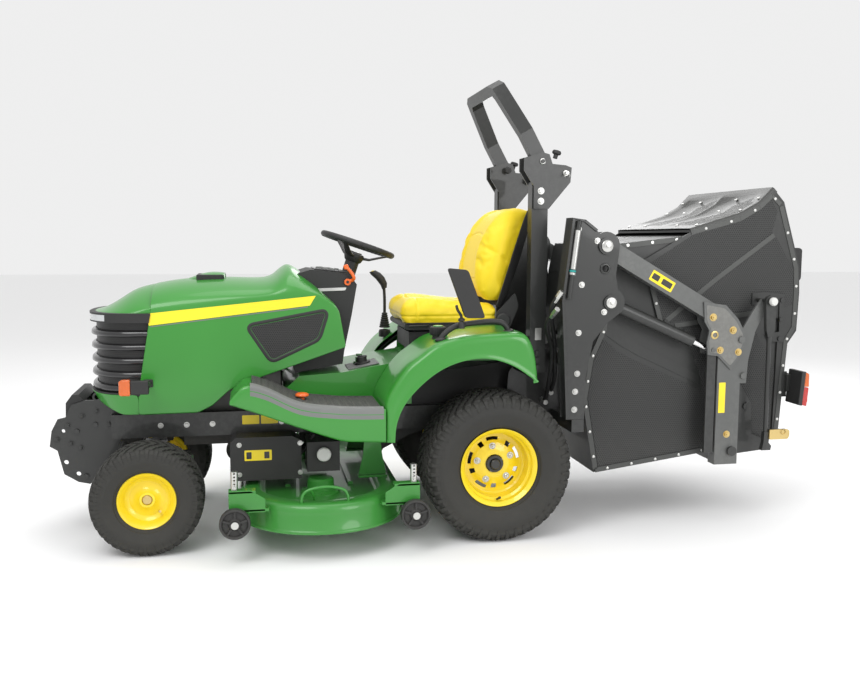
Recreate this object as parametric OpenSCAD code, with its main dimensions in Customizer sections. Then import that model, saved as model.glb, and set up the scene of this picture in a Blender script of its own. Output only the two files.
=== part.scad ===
// Ride-on lawn mower with a high-lift grass collector.
// Lengths in millimetres. +Z is up, -Y is the front and +X is the driver's left.
// In the modules Y is measured from the rear axle; place() moves the finished piece
// so that the middle of the machine's footprint lies over the origin.

/* [Chassis] */
// Distance from the front axle to the rear axle
wheelbase = 1475; // [1350:5:1800]
// Distance from the centre line to the outer side of a frame rail
rail_out = 215; // [205:1:230]
// Width of the hood
hood_w = 600; // [560:2:640]
// Distance across the outer sides of the fenders and footboards
body_w = 1180; // [1140:2:1300]
// Height of the roll-over hoop above the ground
rops_top = 2020; // [1900:5:2200]

/* [Wheels] */
// Outer diameter of a front tyre
front_tyre_d = 461; // [420:1:500]
// Width of a front tyre
front_tyre_w = 205; // [160:1:215]
// Outer diameter of a rear tyre
rear_tyre_d = 648; // [600:1:680]
// Width of a rear tyre
rear_tyre_w = 290; // [220:1:295]
// Inner side of a rear tyre from the centre line
rear_tyre_in = 301; // [299:1:320]
// Inner side of a front tyre from the centre line
front_tyre_in = 303; // [300:1:330]
// Diameter of a front rim at its flange
front_rim_d = 238; // [210:1:260]
// Diameter of a rear rim at its flange
rear_rim_d = 344; // [320:1:360]
// Diameter of a front wheel spindle
spindle_d = 28; // [20:1:36]
// Diameter of a rear axle shaft
axle_d = 45; // [35:1:60]

/* [Mower deck] */
// Width of the mower deck
deck_w = 1400; // [1200:10:1700]
// Diameter of the deck's round ends, one over each blade
deck_l = 708; // [640:2:720]
// Height of the deck's lower edge when it is raised
deck_z = 118; // [112:1:140]
// Diameter of a gauge wheel
gauge_d = 124; // [100:1:140]

/* [Collector] */
// Width of the collector's box over its side sheets
hopper_w = 810; // [700:5:860]
// Width of a lift arm
arm_w = 60; // [40:1:70]
// Diameter of the lift arm's pivot pin
arm_pin_d = 40; // [25:1:50]
// Bore of the drawbar's pin hole
draw_pin_d = 22; // [16:1:30]

/* [Fits] */
// Radial clearance of a pin in its bore
fit = 0.05; // [0.02:0.01:0.1]
// Side gap between moving plates
gap = 2; // [1:0.5:3]
// Thickness of the body panels
skin = 4; // [3:0.5:6]

/* [Hidden] */
$fn = 64;
y_front = -wheelbase - 427;              // foremost point, the towing plates
y_back = 1556;                           // rearmost point, the box on the tailgate
y_mid = (y_front + y_back) / 2;
y_fa = -wheelbase;
y_deck = -wheelbase / 2 - 16;             // middle of the mower deck
z_fa = front_tyre_d / 2;
z_ra = rear_tyre_d / 2;
body_x = body_w / 2;
hood_x = hood_w / 2;
front_wheel_x = front_tyre_in + front_tyre_w / 2;
rear_wheel_x = rear_tyre_in + rear_tyre_w / 2;
kingpin_x = front_tyre_in - 44;
kingpin_d = 26;
hood_pin = [y_fa - 225, 620];            // hood hinge, as [y, z]
wheel_tilt = 18.6;                       // lean of the steering wheel's plane
wheel_mid = [y_fa + 931, 1278];          // middle of the steering wheel's rim
rops_pin = [243, 1650];                  // fold pin of the hoop
rops_lock = [352, 1600];                 // lock pin of the hoop
rops_x = 290;
rops_tube = 60;
lift_pin = [482, 1278];                  // upper tower pivot, lift arms
ram_pin = [507, 1031];                   // lower tower pivot, lift rams
rod_pin = [1006, 812];                   // rod eye on the lift arm
foot_pin = [1116, 342];                  // lift arm foot and tilt bracket
dump_pin = [1228, 533];                  // tilt bracket and collector box
gate_pin = [815, 937];                   // tailgate on the collector box
latch_pin = [1268, 1031];                // upper end of the latch bar
recline_pin = [95, 935];
side_x = hopper_w / 2;                   // lanes outward from the collector's side
gate_x = side_x + 5.5;
tilt_x = gate_x + skin + 4;
arm_x = tilt_x + 8 + 14;
tower_t = 8;
arm_end = arm_x + arm_w;

// ---- helpers -------------------------------------------------------------

// Distance behind the front axle to Y
function fy(d) = y_fa + d;

// Points of an arc from angle a0 to a1 about (y, z)
function arc(y, z, r, a0, a1, n = 8) =
  [for (i = [0:n]) let (a = a0 + (a1 - a0) * i / n) [y + r * cos(a), z + r * sin(a)]];

// An outline drawn anticlockwise, moved inwards by t
function unit(v) = v / norm(v);
function inset(p, t) = [for (i = [0:len(p) - 1])
  let (a = p[(i + len(p) - 1) % len(p)], b = p[i], c = p[(i + 1) % len(p)],
       u = unit(b - a), v = unit(c - b),
       m = [-u[1] - v[1], u[0] + v[0]] / (1 + u * v))
  b + m * t];

// Half of the hood's outline in plan: a round nose and straight sides
function nose(x, len, n = 2.4, steps = 9) =
  [for (i = [0:steps]) let (a = 90 * i / steps)
    [x * pow(sin(a), 2 / n), -len * pow(cos(a), 2 / n)]];
function mirrored(p) = [for (i = [len(p) - 1:-1:1]) [-p[i][0], p[i][1]]];

module place() { translate([0, -y_mid, 0]) children(); }
module pair() { children(); mirror([1, 0, 0]) children(); }

// A plate in the Y-Z plane from x to x + t
module plate(x, t, pts) { translate([x, 0, 0]) rotate([90, 0, 90]) linear_extrude(t) polygon(pts); }

// A round bar along X from x0 to x1 through p = [y, z]
module bar(p, d, x0, x1) {
  translate([x0, p[0], p[1]]) rotate([0, 90, 0]) cylinder(d = d, h = x1 - x0);
}

// A box given by its two corners
module block(a, b) { translate(a) cube(b - a); }

// A round rod between two points
module rod(a, b, d) {
  v = b - a;
  translate(a) rotate([0, acos(v[2] / norm(v)), atan2(v[1], v[0])]) cylinder(d = d, h = norm(v));
}

// A bent round tube through a list of points, with ball-shaped corners
module bent(pts, d) {
  for (i = [0:len(pts) - 2]) rod(pts[i], pts[i + 1], d);
  for (i = [1:len(pts) - 2]) translate(pts[i]) sphere(d = d, $fn = 32);
}

// A hexagon bolt head along X, facing outwards
module bolt(p, x, d = 16, h = 8) {
  translate([x, p[0], p[1]]) rotate([0, 90, 0]) cylinder(d = d, h = h, $fn = 6);
}

// ---- chassis ---------------------------------------------------------------

rail_in = rail_out - 40;
rail_z = [441, 545];
module frame_rails() {
  cross_y = [fy(-124), fy(640), -545];
  place() color("dimgray") {
    pair() block([rail_in, fy(-165), rail_z[0]], [rail_out, 235, rail_z[1]]);
    for (y = cross_y) block([-rail_in, y, rail_z[0] + 20], [rail_in, y + 60, rail_z[1] - 20]);
    block([-60, fy(-78), 392], [60, fy(-53), rail_z[0] + 20]);
    block([-60, fy(53), 392], [60, fy(78), rail_z[0] + 20]);
    block([-60, fy(-80), rail_z[0] + 20], [60, fy(80), rail_z[1] - 20]);
    for (y = [fy(-80), fy(20)]) block([-rail_in, y, 470], [rail_in, y + 60, 500]);
  }
}

tow_holes = [[fy(-362), 337], [fy(-313), 284]];
tow_d = 20;
module hitch_plates() {
  t = 12;
  x = rail_in - t;
  outline = [[fy(-427), 409], [fy(-396), 390], [fy(-372), 285], [fy(-314), 248], [fy(-266), 237],
    [fy(-182), 303], [fy(-125), 445], [fy(-125), 540], [fy(-197), 606], [fy(-276), 606],
    [fy(-333), 589], [fy(-359), 534], [fy(-391), 527], [fy(-417), 477]];
  place() color("dimgray") {
    pair() difference() {
      union() {
        plate(x, t, outline);
        bar(hood_pin, 40, x, x + t);
      }
      for (h = tow_holes) bar(h, tow_d, x - 1, x + t + 1);
      bar([fy(-369), 475], 16, x - 1, x + t + 1);
      bar(hood_pin, 24 + 2 * fit, x - 1, x + t + 1);
    }
    block([-x, fy(-348), 314], [x, fy(-336), 484]);
    block([-x, fy(-248), 314], [x, fy(-236), 384]);
    pair() for (p = [[fy(-313), 473], [fy(-236), 500], [fy(-281), 274]]) bolt(p, x + t, 22, 9);
  }
}

module bumper_cap() {
  half = rail_in - 13;
  outline = [[fy(-360), 518], [fy(-284), 518], [fy(-284), 580], [fy(-281), 602], [fy(-304), 630],
    [fy(-331), 630], [fy(-357), 595]];
  place() color("black") {
    plate(-half, 2 * half, outline);
    for (x = [-120, 120]) block([x - 8, fy(-347), 484], [x + 8, fy(-300), 518]);
  }
}

module engine() {
  place() color("gray") {
    block([-165, fy(90), 500], [165, fy(560), 800]);
    block([-120, fy(110), 800], [120, fy(520), 930]);
    block([-150, fy(-70), 560], [150, fy(-20), 960]);
    translate([0, fy(-5), 740]) rotate([-90, 0, 0]) cylinder(d = 260, h = 18);
    translate([0, fy(13), 740]) rotate([-90, 0, 0]) cylinder(d = 60, h = 77);
    translate([0, fy(560), 620]) rotate([-90, 0, 0]) cylinder(d = 150, h = 12);
    block([-110, fy(130), 380], [110, fy(500), 500]);
  }
}

// Hydraulic tank on the left, fuel tank on the right, and the deck drive with its cap
module side_housings() {
  x0 = rail_out;
  x1 = 340;
  tank = [[fy(335), 205], [fy(354), 205], [fy(360), 262], [fy(640), 262], [fy(640), 430],
    [fy(600), 452], [fy(360), 452], [fy(335), 430]];
  place() {
    color("black") {
      pair() plate(x0, x1 - x0, tank);
      block([x0, fy(662), 300], [x1 + 40, fy(803), 430]);
      mirror([1, 0, 0]) block([x0, fy(662), 300], [x1, fy(803), 430]);
    }
    color("silver") bar([fy(733), 378], 44, x1 + 40, x1 + 55);
    color("silver") {
      translate([-150, fy(662), 400]) rotate([-90, 0, 0]) cylinder(d = 40, h = wheelbase - 662 - 120);
    }
  }
}

module rear_axle() {
  reach = rear_wheel_x + 30;
  place() color("dimgray") {
    difference() {
      union() {
        bar([0, z_ra], 120, -rear_tyre_in + 6, rear_tyre_in - 6);
        block([-200, -120, z_ra - 85], [-100, 110, z_ra + 116]);
        pair() block([rail_in, -60, z_ra], [rail_out, 60, rail_z[0]]);
      }
      bar([0, z_ra], axle_d + 2, -reach, reach);
    }
    bar([0, z_ra], axle_d, -reach, reach);
  }
}

tunnel_x = 240;
board_front = [fy(345), 646];
button_pos = [430, fy(640), 640];
module hood_gap() { block([tunnel_x, fy(300), 560], [hood_x + 3, fy(485), 800]); }
module footboards() {
  outline = [board_front, [-691, 478], [-508, 462], [-508, 592], [-700, 600],
    [fy(622), 622], [fy(409), 705]];
  inside = [[fy(340), 560], [-691, 440], [-500, 440], [-500, 592 - skin], [-701, 600 - skin],
    [fy(620), 622 - skin], [fy(411), 705 - skin - 2], [fy(352), 646]];
  place() color("green") difference() {
    pair() difference() {
      plate(tunnel_x + 6, body_x - tunnel_x - 6, outline);
      plate(tunnel_x + 5, body_x - tunnel_x - 5 - skin, inside);
      hood_gap();
    }
    translate(button_pos) cylinder(d = 18 + 2 * fit, h = 200, center = true);
  }
}

module foot_mats() {
  lift = 1;
  mat_t = 9;
  low = [[fy(418), 703 + lift], [fy(622), 622 + lift], [-700, 600 + lift], [-520, 593 + lift]];
  outline = concat(low, [for (i = [3:-1:0]) low[i] + [0, mat_t]]);
  place() color("#222222") difference() {
    pair() difference() {
      plate(tunnel_x + 30, body_x - tunnel_x - 44, outline);
      hood_gap();
    }
    translate(button_pos) cylinder(d = 26, h = 200, center = true);
  }
}

// Tunnel between the footboards, with the sill plate and the cutting-height dial in front of the seat
module floor_cover() {
  outline = [[fy(575), 560], [-330, 560], [-330, 760], [-461, 742], [-640, 712], [fy(640), 700], [fy(575), 640]];
  top_z = 724;
  place() {
    color("green") difference() {
      plate(-tunnel_x, 2 * tunnel_x, outline);
      plate(-tunnel_x + skin, 2 * (tunnel_x - skin), [[fy(560), 540], [-320, 540], [-320, 756], [-461, 738],
        [-640, 708], [fy(641), 696], [fy(575 + skin), 638]]);
    }
    color("gray") translate([80, -545, top_z]) cylinder(d = 64, h = 16);
    color("black") translate([80, -545, top_z + 16]) cylinder(d = 46, h = 20);
    color("black") translate([-90, -530, top_z + 2]) cylinder(d = 30, h = 26);
  }
}

fender_in = 250;
seat_deck_z = 760;
fender_top = [[-504, 462], [-504, 640], [-420, 766], [-273, 876], [-150, 905], [-15, 914],
  [85, 912], [144, 830], [164, 705]];
cap_pos = [430, -248, 892];
lever_pos = [-320, -371, 850];
module rear_fenders() {
  top = fender_top;
  arch = [[150, 700], [119, 725], [40, 775], [-60, 805], [-160, 800], [-260, 765], [-350, 700],
    [-420, 620], [-454, 540], [-462, 462]];
  inner = [[-500, 450], [-500, 638], [-417, 762], [-271, 872], [-149, 901], [-15, 910],
    [82, 908], [140, 828], [160, 690], [160, 450]];
  place() color("green") {
    pair() difference() {
      plate(fender_in, body_x - fender_in, ccw(top));
      plate(fender_in - 1, body_x - fender_in + 1 - skin, ccw(inner));
      plate(body_x - skin - 1, skin + 2, concat([[164, 440], [164, 699]], arch, [[-462, 440]]));
    }
    block([-fender_in + 2, -320, seat_deck_z], [fender_in - 2, 150, seat_deck_z + skin]);
    pair() block([fender_in - 2, -320, seat_deck_z], [fender_in + 5, 150, 800]);
    block([-138, -303, seat_deck_z + skin], [138, 13, 828]);
    translate([cap_pos[0], cap_pos[1], 870]) cylinder(d = 50, h = cap_pos[2] - 870);
    difference() {
      translate([lever_pos[0], lever_pos[1], 801]) cylinder(d = 56, h = 47);
      translate([lever_pos[0], lever_pos[1], 830]) cylinder(d = 24, h = 30);
    }
  }
}

// Wheel-arch linings and the grab handle on each fender, with the mirror's socket
handle = [[44, 913], [18, 954], [-38, 969], [-163, 954], [-222, 932], [-262, 879], [-236, 885],
  [-204, 915], [-157, 931], [-42, 946], [2, 935], [22, 913.5]];
mirror_pos = [549, -172, 962];
module fender_liners() {
  handle_x = 520;
  shift = 8;
  outer = [[-484, 470], [-484, 632], [-408, 750], [-267, 858], [-148, 890], [-15, 900],
    [74, 898], [130, 824], [148, 712]];
  n = len(outer);
  inner = [for (i = [0:n - 1]) outer[i] + [i < 3 ? shift : (i > 6 ? -shift : 0), i > 2 && i < 8 ? -shift : -4]];
  place() color("black") {
    pair() plate(fender_in + 6, body_x - fender_in - 16,
      concat(inner, ccw(outer)));
    pair() plate(handle_x - 12, 24, handle);
    block([handle_x + 12, mirror_pos[1] - 12, 931], [mirror_pos[0] + 12, mirror_pos[1] + 12, mirror_pos[2] - 1]);
  }
}

dash_pin = [fy(862), 1112];
module dash_console() {
  half = 180;
  wall = 8;
  outline = [[fy(625), 706], [fy(838), 742], [fy(846), 800], [fy(880), 960], [fy(905), 1100],
    [fy(870), 1150], [fy(700), 1168], [fy(608), 1140], [fy(608), 760]];
  inside = [[fy(628), 690], [fy(829), 690], [fy(837), 800], [fy(871), 960], [fy(895), 1098],
    [fy(866), 1142], [fy(701), 1160], [fy(616), 1133]];
  hub = [0, wheel_mid[0], wheel_mid[1]];
  axis = [0, sin(wheel_tilt), cos(wheel_tilt)];
  place() {
    color("black") difference() {
      plate(-half, 2 * half, outline);
      plate(wall - half, 2 * (half - wall), inside);
    }
    color("black") rod(hub - 175 * axis, hub - 82 * axis, 64);
    color("black") bar(dash_pin, 12, half, half + 16);
    color("yellow") translate([-half - 12, fy(760), 1050]) rotate([0, 90, 0]) cylinder(d = 30, h = 12);
  }
}

// ---- roll-over structure ---------------------------------------------------

module rops_posts() {
  x0 = rops_x - rops_tube / 2;
  x1 = rops_x + rops_tube / 2;
  cheek = [[205, 1441], [275, 1441], [375, 1560], [380, 1625], [352, 1635], [290, 1640], [275, 1682],
    [243, 1690], [210, 1680], [160, 1665], [160, 1610], [205, 1540]];
  place() color("black") {
    pair() {
      difference() {
        union() {
          block([x0, 200, 700], [x1, 275, 1560]);
          for (x = [x0 - 10 - gap, x1 + gap]) plate(x, 10, cheek);
          for (x = [x0 - gap, x1]) block([x, 205, 1445], [x + gap, 270, 1550]);
        }
        bar(rops_pin, 18 + 2 * fit, x0 - 40, x1 + 40);
        bar(rops_lock, 16, x0 - 40, x1 + 40);
      }
    }
    pair() for (z = [726, 760, 792]) bolt([237, z], x1, 24, 10);
  }
}

module rear_frame() {
  outline = [[110, 446], [235, 446], [300, 455], [396, 455], [410, 560], [404, 800], [200, 800],
    [130, 690]];
  x = rail_out;
  place() color("dimgray") {
    pair() {
      plate(x, 12, outline);
      block([x + 12, 205, 706], [rops_x - rops_tube / 2, 270, 798]);
    }
    difference() {
      union() {
        block([-arm_end - 10, 340, 458], [arm_end + 10, 396, 515]);
        block([-90, 235, 380], [90, 400, 396]);
        pair() block([70, 330, 396], [90, 400, 458]);
      }
      translate([0, 372, 370]) cylinder(d = draw_pin_d, h = 40);
    }
    pair() block([x + 12, 340, 735], [arm_x - gap - tower_t, 396, 790]);
  }
}

tower_outline = concat([[311, 516], [396, 516], [400, 703], [430, 860], [498, 945]],
  arc(ram_pin[0], ram_pin[1], 66, -40, 60, 6), [[529, 1150]],
  arc(lift_pin[0], lift_pin[1], 62, -10, 120, 8), [[384, 1391], [324, 1399], [283, 1040], [300, 760]]);
module lift_towers() {
  xi = arm_x - gap - tower_t;
  xo = arm_end + gap;
  column = [[320, 516], [392, 516], [345, 800], [345, 1020], [384, 1391], [324, 1399], [283, 1040]];
  place() color("dimgray") pair() {
    difference() {
      union() {
        for (x = [xi, xo]) plate(x, tower_t, tower_outline);
        plate(xi + tower_t, xo - xi - tower_t, column);
      }
      bar([478, 1180], 30, xi - 1, xo + tower_t + 1);
    }
    bar(lift_pin, arm_pin_d, xi + tower_t, xo);
    bar(lift_pin, 74, xo + tower_t, xo + tower_t + 9);
    bar(ram_pin, 30, xi + tower_t, xo);
    bar(ram_pin, 66, xo + tower_t, xo + tower_t + 9);
    rod([xo + tower_t + 10, 352, 1385], [xo + tower_t + 10, 312, 1050], 20);
  }
}

// Hoses from under the fender to the lift towers and to the ram's ends
function hose_mid(p) = concat([p[0]],
  [for (i = [0:len(p) - 2]) for (k = [1:4]) let (t = k / 4,
    a = p[max(i - 1, 0)], b = p[i], c = p[i + 1], d = p[min(i + 2, len(p) - 1)])
    0.5 * (2 * b + (c - a) * t + (2 * a - 5 * b + 4 * c - d) * t * t
      + (3 * b - a - 3 * c + d) * t * t * t)]);
module tube(route, d, sides = 8) {
  p = hose_mid(route);
  n = len(p);
  rings = [for (i = [0:n - 1]) let (v = unit(p[min(i + 1, n - 1)] - p[max(i - 1, 0)]),
      u = unit(cross(v, [1, 0.02, 0.03])), w = cross(v, u))
    for (k = [0:sides - 1]) p[i] + d / 2 * (cos(360 * k / sides) * u + sin(360 * k / sides) * w)];
  walls = [for (i = [0:n - 2]) for (k = [0:sides - 1]) let (a = i * sides + k,
      b = i * sides + (k + 1) % sides) each [[b, a, b + sides], [b + sides, a, a + sides]]];
  polyhedron(rings, concat([[for (k = [0:sides - 1]) k]], walls,
    [[for (k = [sides - 1:-1:0]) (n - 1) * sides + k]]));
}
hose_a = [[rail_out + 14, 319, 604], [275, 319, 606], [330, 319, 690], [arm_x - 55, 294, 860],
  [arm_x + 30, 250, 1000], [arm_end + 22, 278, 1080]];
hose_b = [[rail_out + 14, 293, 560], [268, 293, 562], [318, 293, 640], [arm_x - 68, 290, 800],
  [arm_x + 10, 236, 930], [arm_end + 40, 252, 1006]];
module hydraulic_hoses() {
  place() color("black") pair() {
    tube(hose_a, 20);
    tube(hose_b, 20);
  }
}

// Duct that carries the clippings from the deck, over the axle, to the collector
module grass_chute() {
  x0 = -90;
  x1 = 165;
  w = 3;
  low = [[-470, 330], [-330, 400], [-150, 455], [150, 470], [300, 560], [412, 600]];
  high = [[412, 850], [300, 800], [150, 735], [-150, 700], [-345, 655], [-470, 560]];
  lo_in = [[-480, 334], [-331, 404], [-151, 459], [149, 474], [298, 563], [420, 605]];
  hi_in = [[420, 849], [301, 796], [151, 731], [-149, 696], [-343, 651], [-480, 553]];
  place() color("black") difference() {
    plate(x0, x1 - x0, concat(low, high));
    plate(x0 + w, x1 - x0 - 2 * w, concat(lo_in, hi_in));
  }
}

// ---- front axle and steering -------------------------------------------------

axle_beam_z = 340;
module front_axle() {
  place() color("dimgray") {
    difference() {
      union() {
        block([-kingpin_x + 34, y_fa - 30, axle_beam_z - 32], [kingpin_x - 34, y_fa + 30, axle_beam_z + 32]);
        block([-50, y_fa - 51, axle_beam_z - 40], [50, y_fa + 51, axle_beam_z + 44]);
        pair() translate([kingpin_x, y_fa, axle_beam_z - 45]) cylinder(d = 72, h = 90);
      }
      pair() translate([kingpin_x, y_fa, axle_beam_z - 50]) cylinder(d = kingpin_d + 2 * fit, h = 100);
      translate([0, y_fa - 60, axle_beam_z]) rotate([-90, 0, 0]) cylinder(d = 30, h = 120);
    }
    pair() translate([kingpin_x - 34, y_fa - 25, axle_beam_z - 25]) cube([8, 50, 50]);
  }
}

module knuckle() {
  arm_r = 130;
  top = axle_beam_z + 47;
  base = axle_beam_z - 47;
  translate([kingpin_x, y_fa, 0]) {
    difference() {
      union() {
        translate([0, 0, base - 30]) cylinder(d = kingpin_d, h = top - base + 55);
        translate([0, 0, base - 34]) cylinder(d = 64, h = 34);
        translate([0, 0, top]) cylinder(d = 64, h = 24);
        translate([-22, -20, z_fa - 24]) cube([44, 40, base - z_fa]);
        translate([-48, 0, base - 34]) cube([44, arm_r, 18]);
      }
      translate([-20, arm_r, base - 40]) cylinder(d = 14 + 2 * fit, h = 60);
    }
    translate([0, 0, z_fa]) rotate([0, 90, 0]) cylinder(d = spindle_d, h = front_wheel_x - kingpin_x + 40);
    translate([22, 0, z_fa]) rotate([0, 90, 0]) cylinder(d = 60, h = 12);
  }
}
module knuckle_left() { place() color("gray") knuckle(); }
module knuckle_right() { place() color("gray") mirror([1, 0, 0]) knuckle(); }

module tie_rod() {
  x = kingpin_x - 20;
  z = axle_beam_z - 47 - 34;
  y = y_fa + 130;
  place() color("silver") {
    translate([x, y, z - 34]) cylinder(d = 14, h = 48);
    rod([x, y, z - 20], [-x + 8, y, z - 20], 22);
    translate([x, y, z - 34]) cylinder(d = 34, h = 28);
    translate([-x, y, z - 34]) cylinder(d = 34, h = 28);
  }
}

// A hollow tyre about the Z axis: tread radius, width and bead radius
module tyre_profile(r, w, bead) {
  side = [[bead, -0.34 * w], [bead + 6, -0.40 * w], [bead + 22, -0.49 * w], [r - 55, -0.5 * w],
    [r - 26, -0.475 * w], [r - 8, -0.42 * w], [r, -0.34 * w]];
  n = len(side);
  outer = concat(side, [for (i = [n - 1:-1:0]) [side[i][0], -side[i][1]]]);
  cave = [[bead + 12, -0.34 * w], [bead + 30, -0.40 * w], [r - 58, -0.42 * w], [r - 28, -0.36 * w],
    [r - 20, -0.28 * w]];
  m = len(cave);
  difference() {
    polygon(outer);
    polygon(concat(cave, [for (i = [m - 1:-1:0]) [cave[i][0], -cave[i][1]]]));
  }
}
module tyre(p, r, w, bead) {
  translate(p) rotate([0, 90, 0]) rotate_extrude($fn = 96) tyre_profile(r, w, bead);
}

// A dished rim about the Z axis; out is the side that faces away from the machine
module rim(p, flange_r, w, bore, hub_r, disc) {
  seat = flange_r - 12;
  prof = [[flange_r - 1, -0.5 * w], [flange_r - 1, -0.5 * w + 5], [seat, -0.5 * w + 12],
    [seat - 30, -0.2 * w], [seat - 30, disc + 4], [hub_r + 20, disc + 8], [hub_r, disc + 22],
    [bore, disc + 22], [bore, disc - 34], [hub_r, disc - 34], [hub_r + 6, disc - 4],
    [seat - 38, disc - 6], [seat - 38, -0.2 * w - 4], [seat - 8, -0.5 * w]];
  lip = [[seat - 30, disc + 4], [seat, 0.5 * w - 12], [flange_r - 1, 0.5 * w - 5], [flange_r - 1, 0.5 * w],
    [seat - 8, 0.5 * w], [seat - 38, disc + 8]];
  translate(p) rotate([0, 90, 0]) difference() {
    rotate_extrude($fn = 96) { polygon(prof); polygon(lip); }
    children();
  }
}

front_rim_w = front_tyre_w * 0.72;
rear_rim_w = rear_tyre_w * 0.76;
module front_rim(s) {
  place() color("gold") mirror([s, 0, 0])
    rim([front_wheel_x, y_fa, z_fa], front_rim_d / 2, front_rim_w, spindle_d / 2 + fit, 34, 18);
}
module rear_rim(s) {
  bolt_r = 82;
  place() color("gold") mirror([s, 0, 0]) {
    rim([rear_wheel_x, 0, z_ra], rear_rim_d / 2, rear_rim_w, axle_d / 2 + fit, 46, 10)
      for (k = [0:4]) rotate(72 * k) {
        translate([108, 0, -40]) cylinder(d = 24, h = 90);
      }
    for (k = [0:4]) translate([rear_wheel_x, 0, z_ra]) rotate([0, 90, 0]) rotate(72 * k + 36)
      translate([bolt_r, 0, 15]) cylinder(d = 24, h = 12, $fn = 6);
  }
}
module front_tyre(s) {
  place() color("#1c1c1c") mirror([s, 0, 0])
    tyre([front_wheel_x, y_fa, z_fa], front_tyre_d / 2, front_tyre_w, front_rim_d / 2 - 0.5);
}
module rear_tyre(s) {
  place() color("#1c1c1c") mirror([s, 0, 0])
    tyre([rear_wheel_x, 0, z_ra], rear_tyre_d / 2, rear_tyre_w, rear_rim_d / 2 - 0.5);
}
module front_rim_left() { front_rim(0); }
module front_rim_right() { front_rim(1); }
module front_tyre_left() { front_tyre(0); }
module front_tyre_right() { front_tyre(1); }
module rear_rim_left() { rear_rim(0); }
module rear_rim_right() { rear_rim(1); }
module rear_tyre_left() { rear_tyre(0); }
module rear_tyre_right() { rear_tyre(1); }

module steering_wheel() {
  r = 166;
  grip = 28;
  dish = 70;
  place() color("#202020") translate([0, wheel_mid[0], wheel_mid[1]]) rotate([-wheel_tilt, 0, 0]) {
    rotate_extrude($fn = 72) translate([r, 0]) circle(d = grip, $fn = 24);
    translate([0, 0, -dish - 10]) cylinder(d = 84, h = 34);
    for (a = [90, 210, 330]) rotate(a) rod([36, 0, -dish + 8], [r, 0, 0], 20);
  }
}

// ---- hood ------------------------------------------------------------------

hood_top = [[-255, 660], [-262, 800], [-258, 950], [-235, 1010], [-174, 1038], [-52, 1086],
  [123, 1121], [300, 1135], [501, 1132], [593, 1150], [846, 1000], [846, 841]];
hood_low = [[468, 709], [340, 655], [271, 588], [212, 559], [-125, 553], [-150, 628]];
function ccw(p) = [for (i = [len(p) - 1:-1:0]) p[i]];
function shifted(p) = [for (q = p) [fy(q[0]), q[1]]];
function plan(x, len, back) = let (h = nose(x, len))
  concat(mirrored(h), h, [[x, back], [-x, back]]);
grille_back = 4;
module hood_shape(x, len, back, side) {
  intersection() {
    plate(-x, 2 * x, shifted(side));
    translate([0, y_fa, 500]) linear_extrude(800) polygon(plan(x, len, back));
  }
}
module hood() {
  side = ccw(concat(hood_top, hood_low));
  inner_top = [for (q = hood_top) q + [q[0] < 0 ? skin : 0, q[0] > 800 ? 0 : -skin]];
  inside = ccw(concat(inner_top, [[900, 841], [900, 500], [-150, 500], [-251, 628]]));
  slot = 192;
  place() color("green") {
    difference() {
      hood_shape(hood_x, 262, 846, side);
      hood_shape(hood_x - skin, 262 - skin, 900, inside);
      block([-hood_x - 1, fy(-300), 640], [hood_x + 1, fy(grille_back), 990]);
      block([-slot, fy(590), 500], [slot, fy(900), 1300]);
      pair() plate(hood_x - skin - 1, skin + 2, shifted([[425, 927], [425, 905], [520, 786], [715, 880],
        [752, 985], [700, 985]]));
    }
    pair() block([hood_x - skin - 46, fy(-120), 560], [hood_x - skin - 40, fy(-80), 632]);
    pair() plate(hood_x - skin - 46, 6, [[hood_pin[0], hood_pin[1] - 16], [fy(-80), 590], [fy(-80), 632],
      [hood_pin[0], hood_pin[1] + 16]]);
    pair() bar(hood_pin, 40, hood_x - skin - 46, hood_x - skin - 40);
    pair() bar(hood_pin, 24, rail_in - 14, hood_x - skin - 44);
    pair() block([hood_x - skin - 41, fy(-120), 600], [hood_x - skin - 12, fy(-80), 620]);
  }
}

// Grille with slats, the mesh side windows and the insert of the top scoop
module hood_trim() {
  front = plan(hood_x, 262, 2);
  z0 = 645;
  z1 = 985;
  slats = 5;
  pitch = 56;
  step = 16;
  place() color("black") {
    translate([0, y_fa, 0]) {
      translate([0, 0, z0]) linear_extrude(z1 - z0) difference() {
        polygon(plan(hood_x - step, 262 - step, 2));
        polygon(plan(hood_x - step - 6, 262 - step - 6, 60));
      }
      for (i = [0:slats - 1]) translate([0, 0, z0 + 8 + i * pitch]) linear_extrude(26) difference() {
        polygon(plan(hood_x - 3, 259, 2));
        polygon(plan(hood_x - step - 3, 262 - step - 3, 60));
      }
      translate([0, 0, z1 - 42]) linear_extrude(42) difference() {
        polygon(plan(hood_x - 1, 261, 2));
        polygon(plan(hood_x - step - 3, 262 - step - 3, 60));
      }
    }
    pair() plate(hood_x - skin - 8, 5, shifted([[422, 940], [422, 900], [518, 774], [722, 872],
      [762, 992], [690, 992]]));
  }
}

module front_lamps() {
  place() {
    color("white") translate([0, y_fa, 950]) linear_extrude(28) difference() {
      polygon(plan(hood_x - 1 + 1, 262, 2));
      polygon(plan(hood_x - 1, 261, 3));
      translate([-90, -400]) square([180, 400]);
      pair() translate([240, -400]) square([100, 500]);
    }
    pair() {
      color("black") block([hood_x, fy(-10), 680], [hood_x + 130, fy(22), 704]);
      color("black") block([hood_x + 95, fy(-55), 680], [hood_x + 130, fy(-10), 704]);
      color("orange") block([hood_x + 95, fy(-102), 659], [hood_x + 130, fy(-55), 730]);
    }
  }
}

// ---- seat ------------------------------------------------------------------

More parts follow.
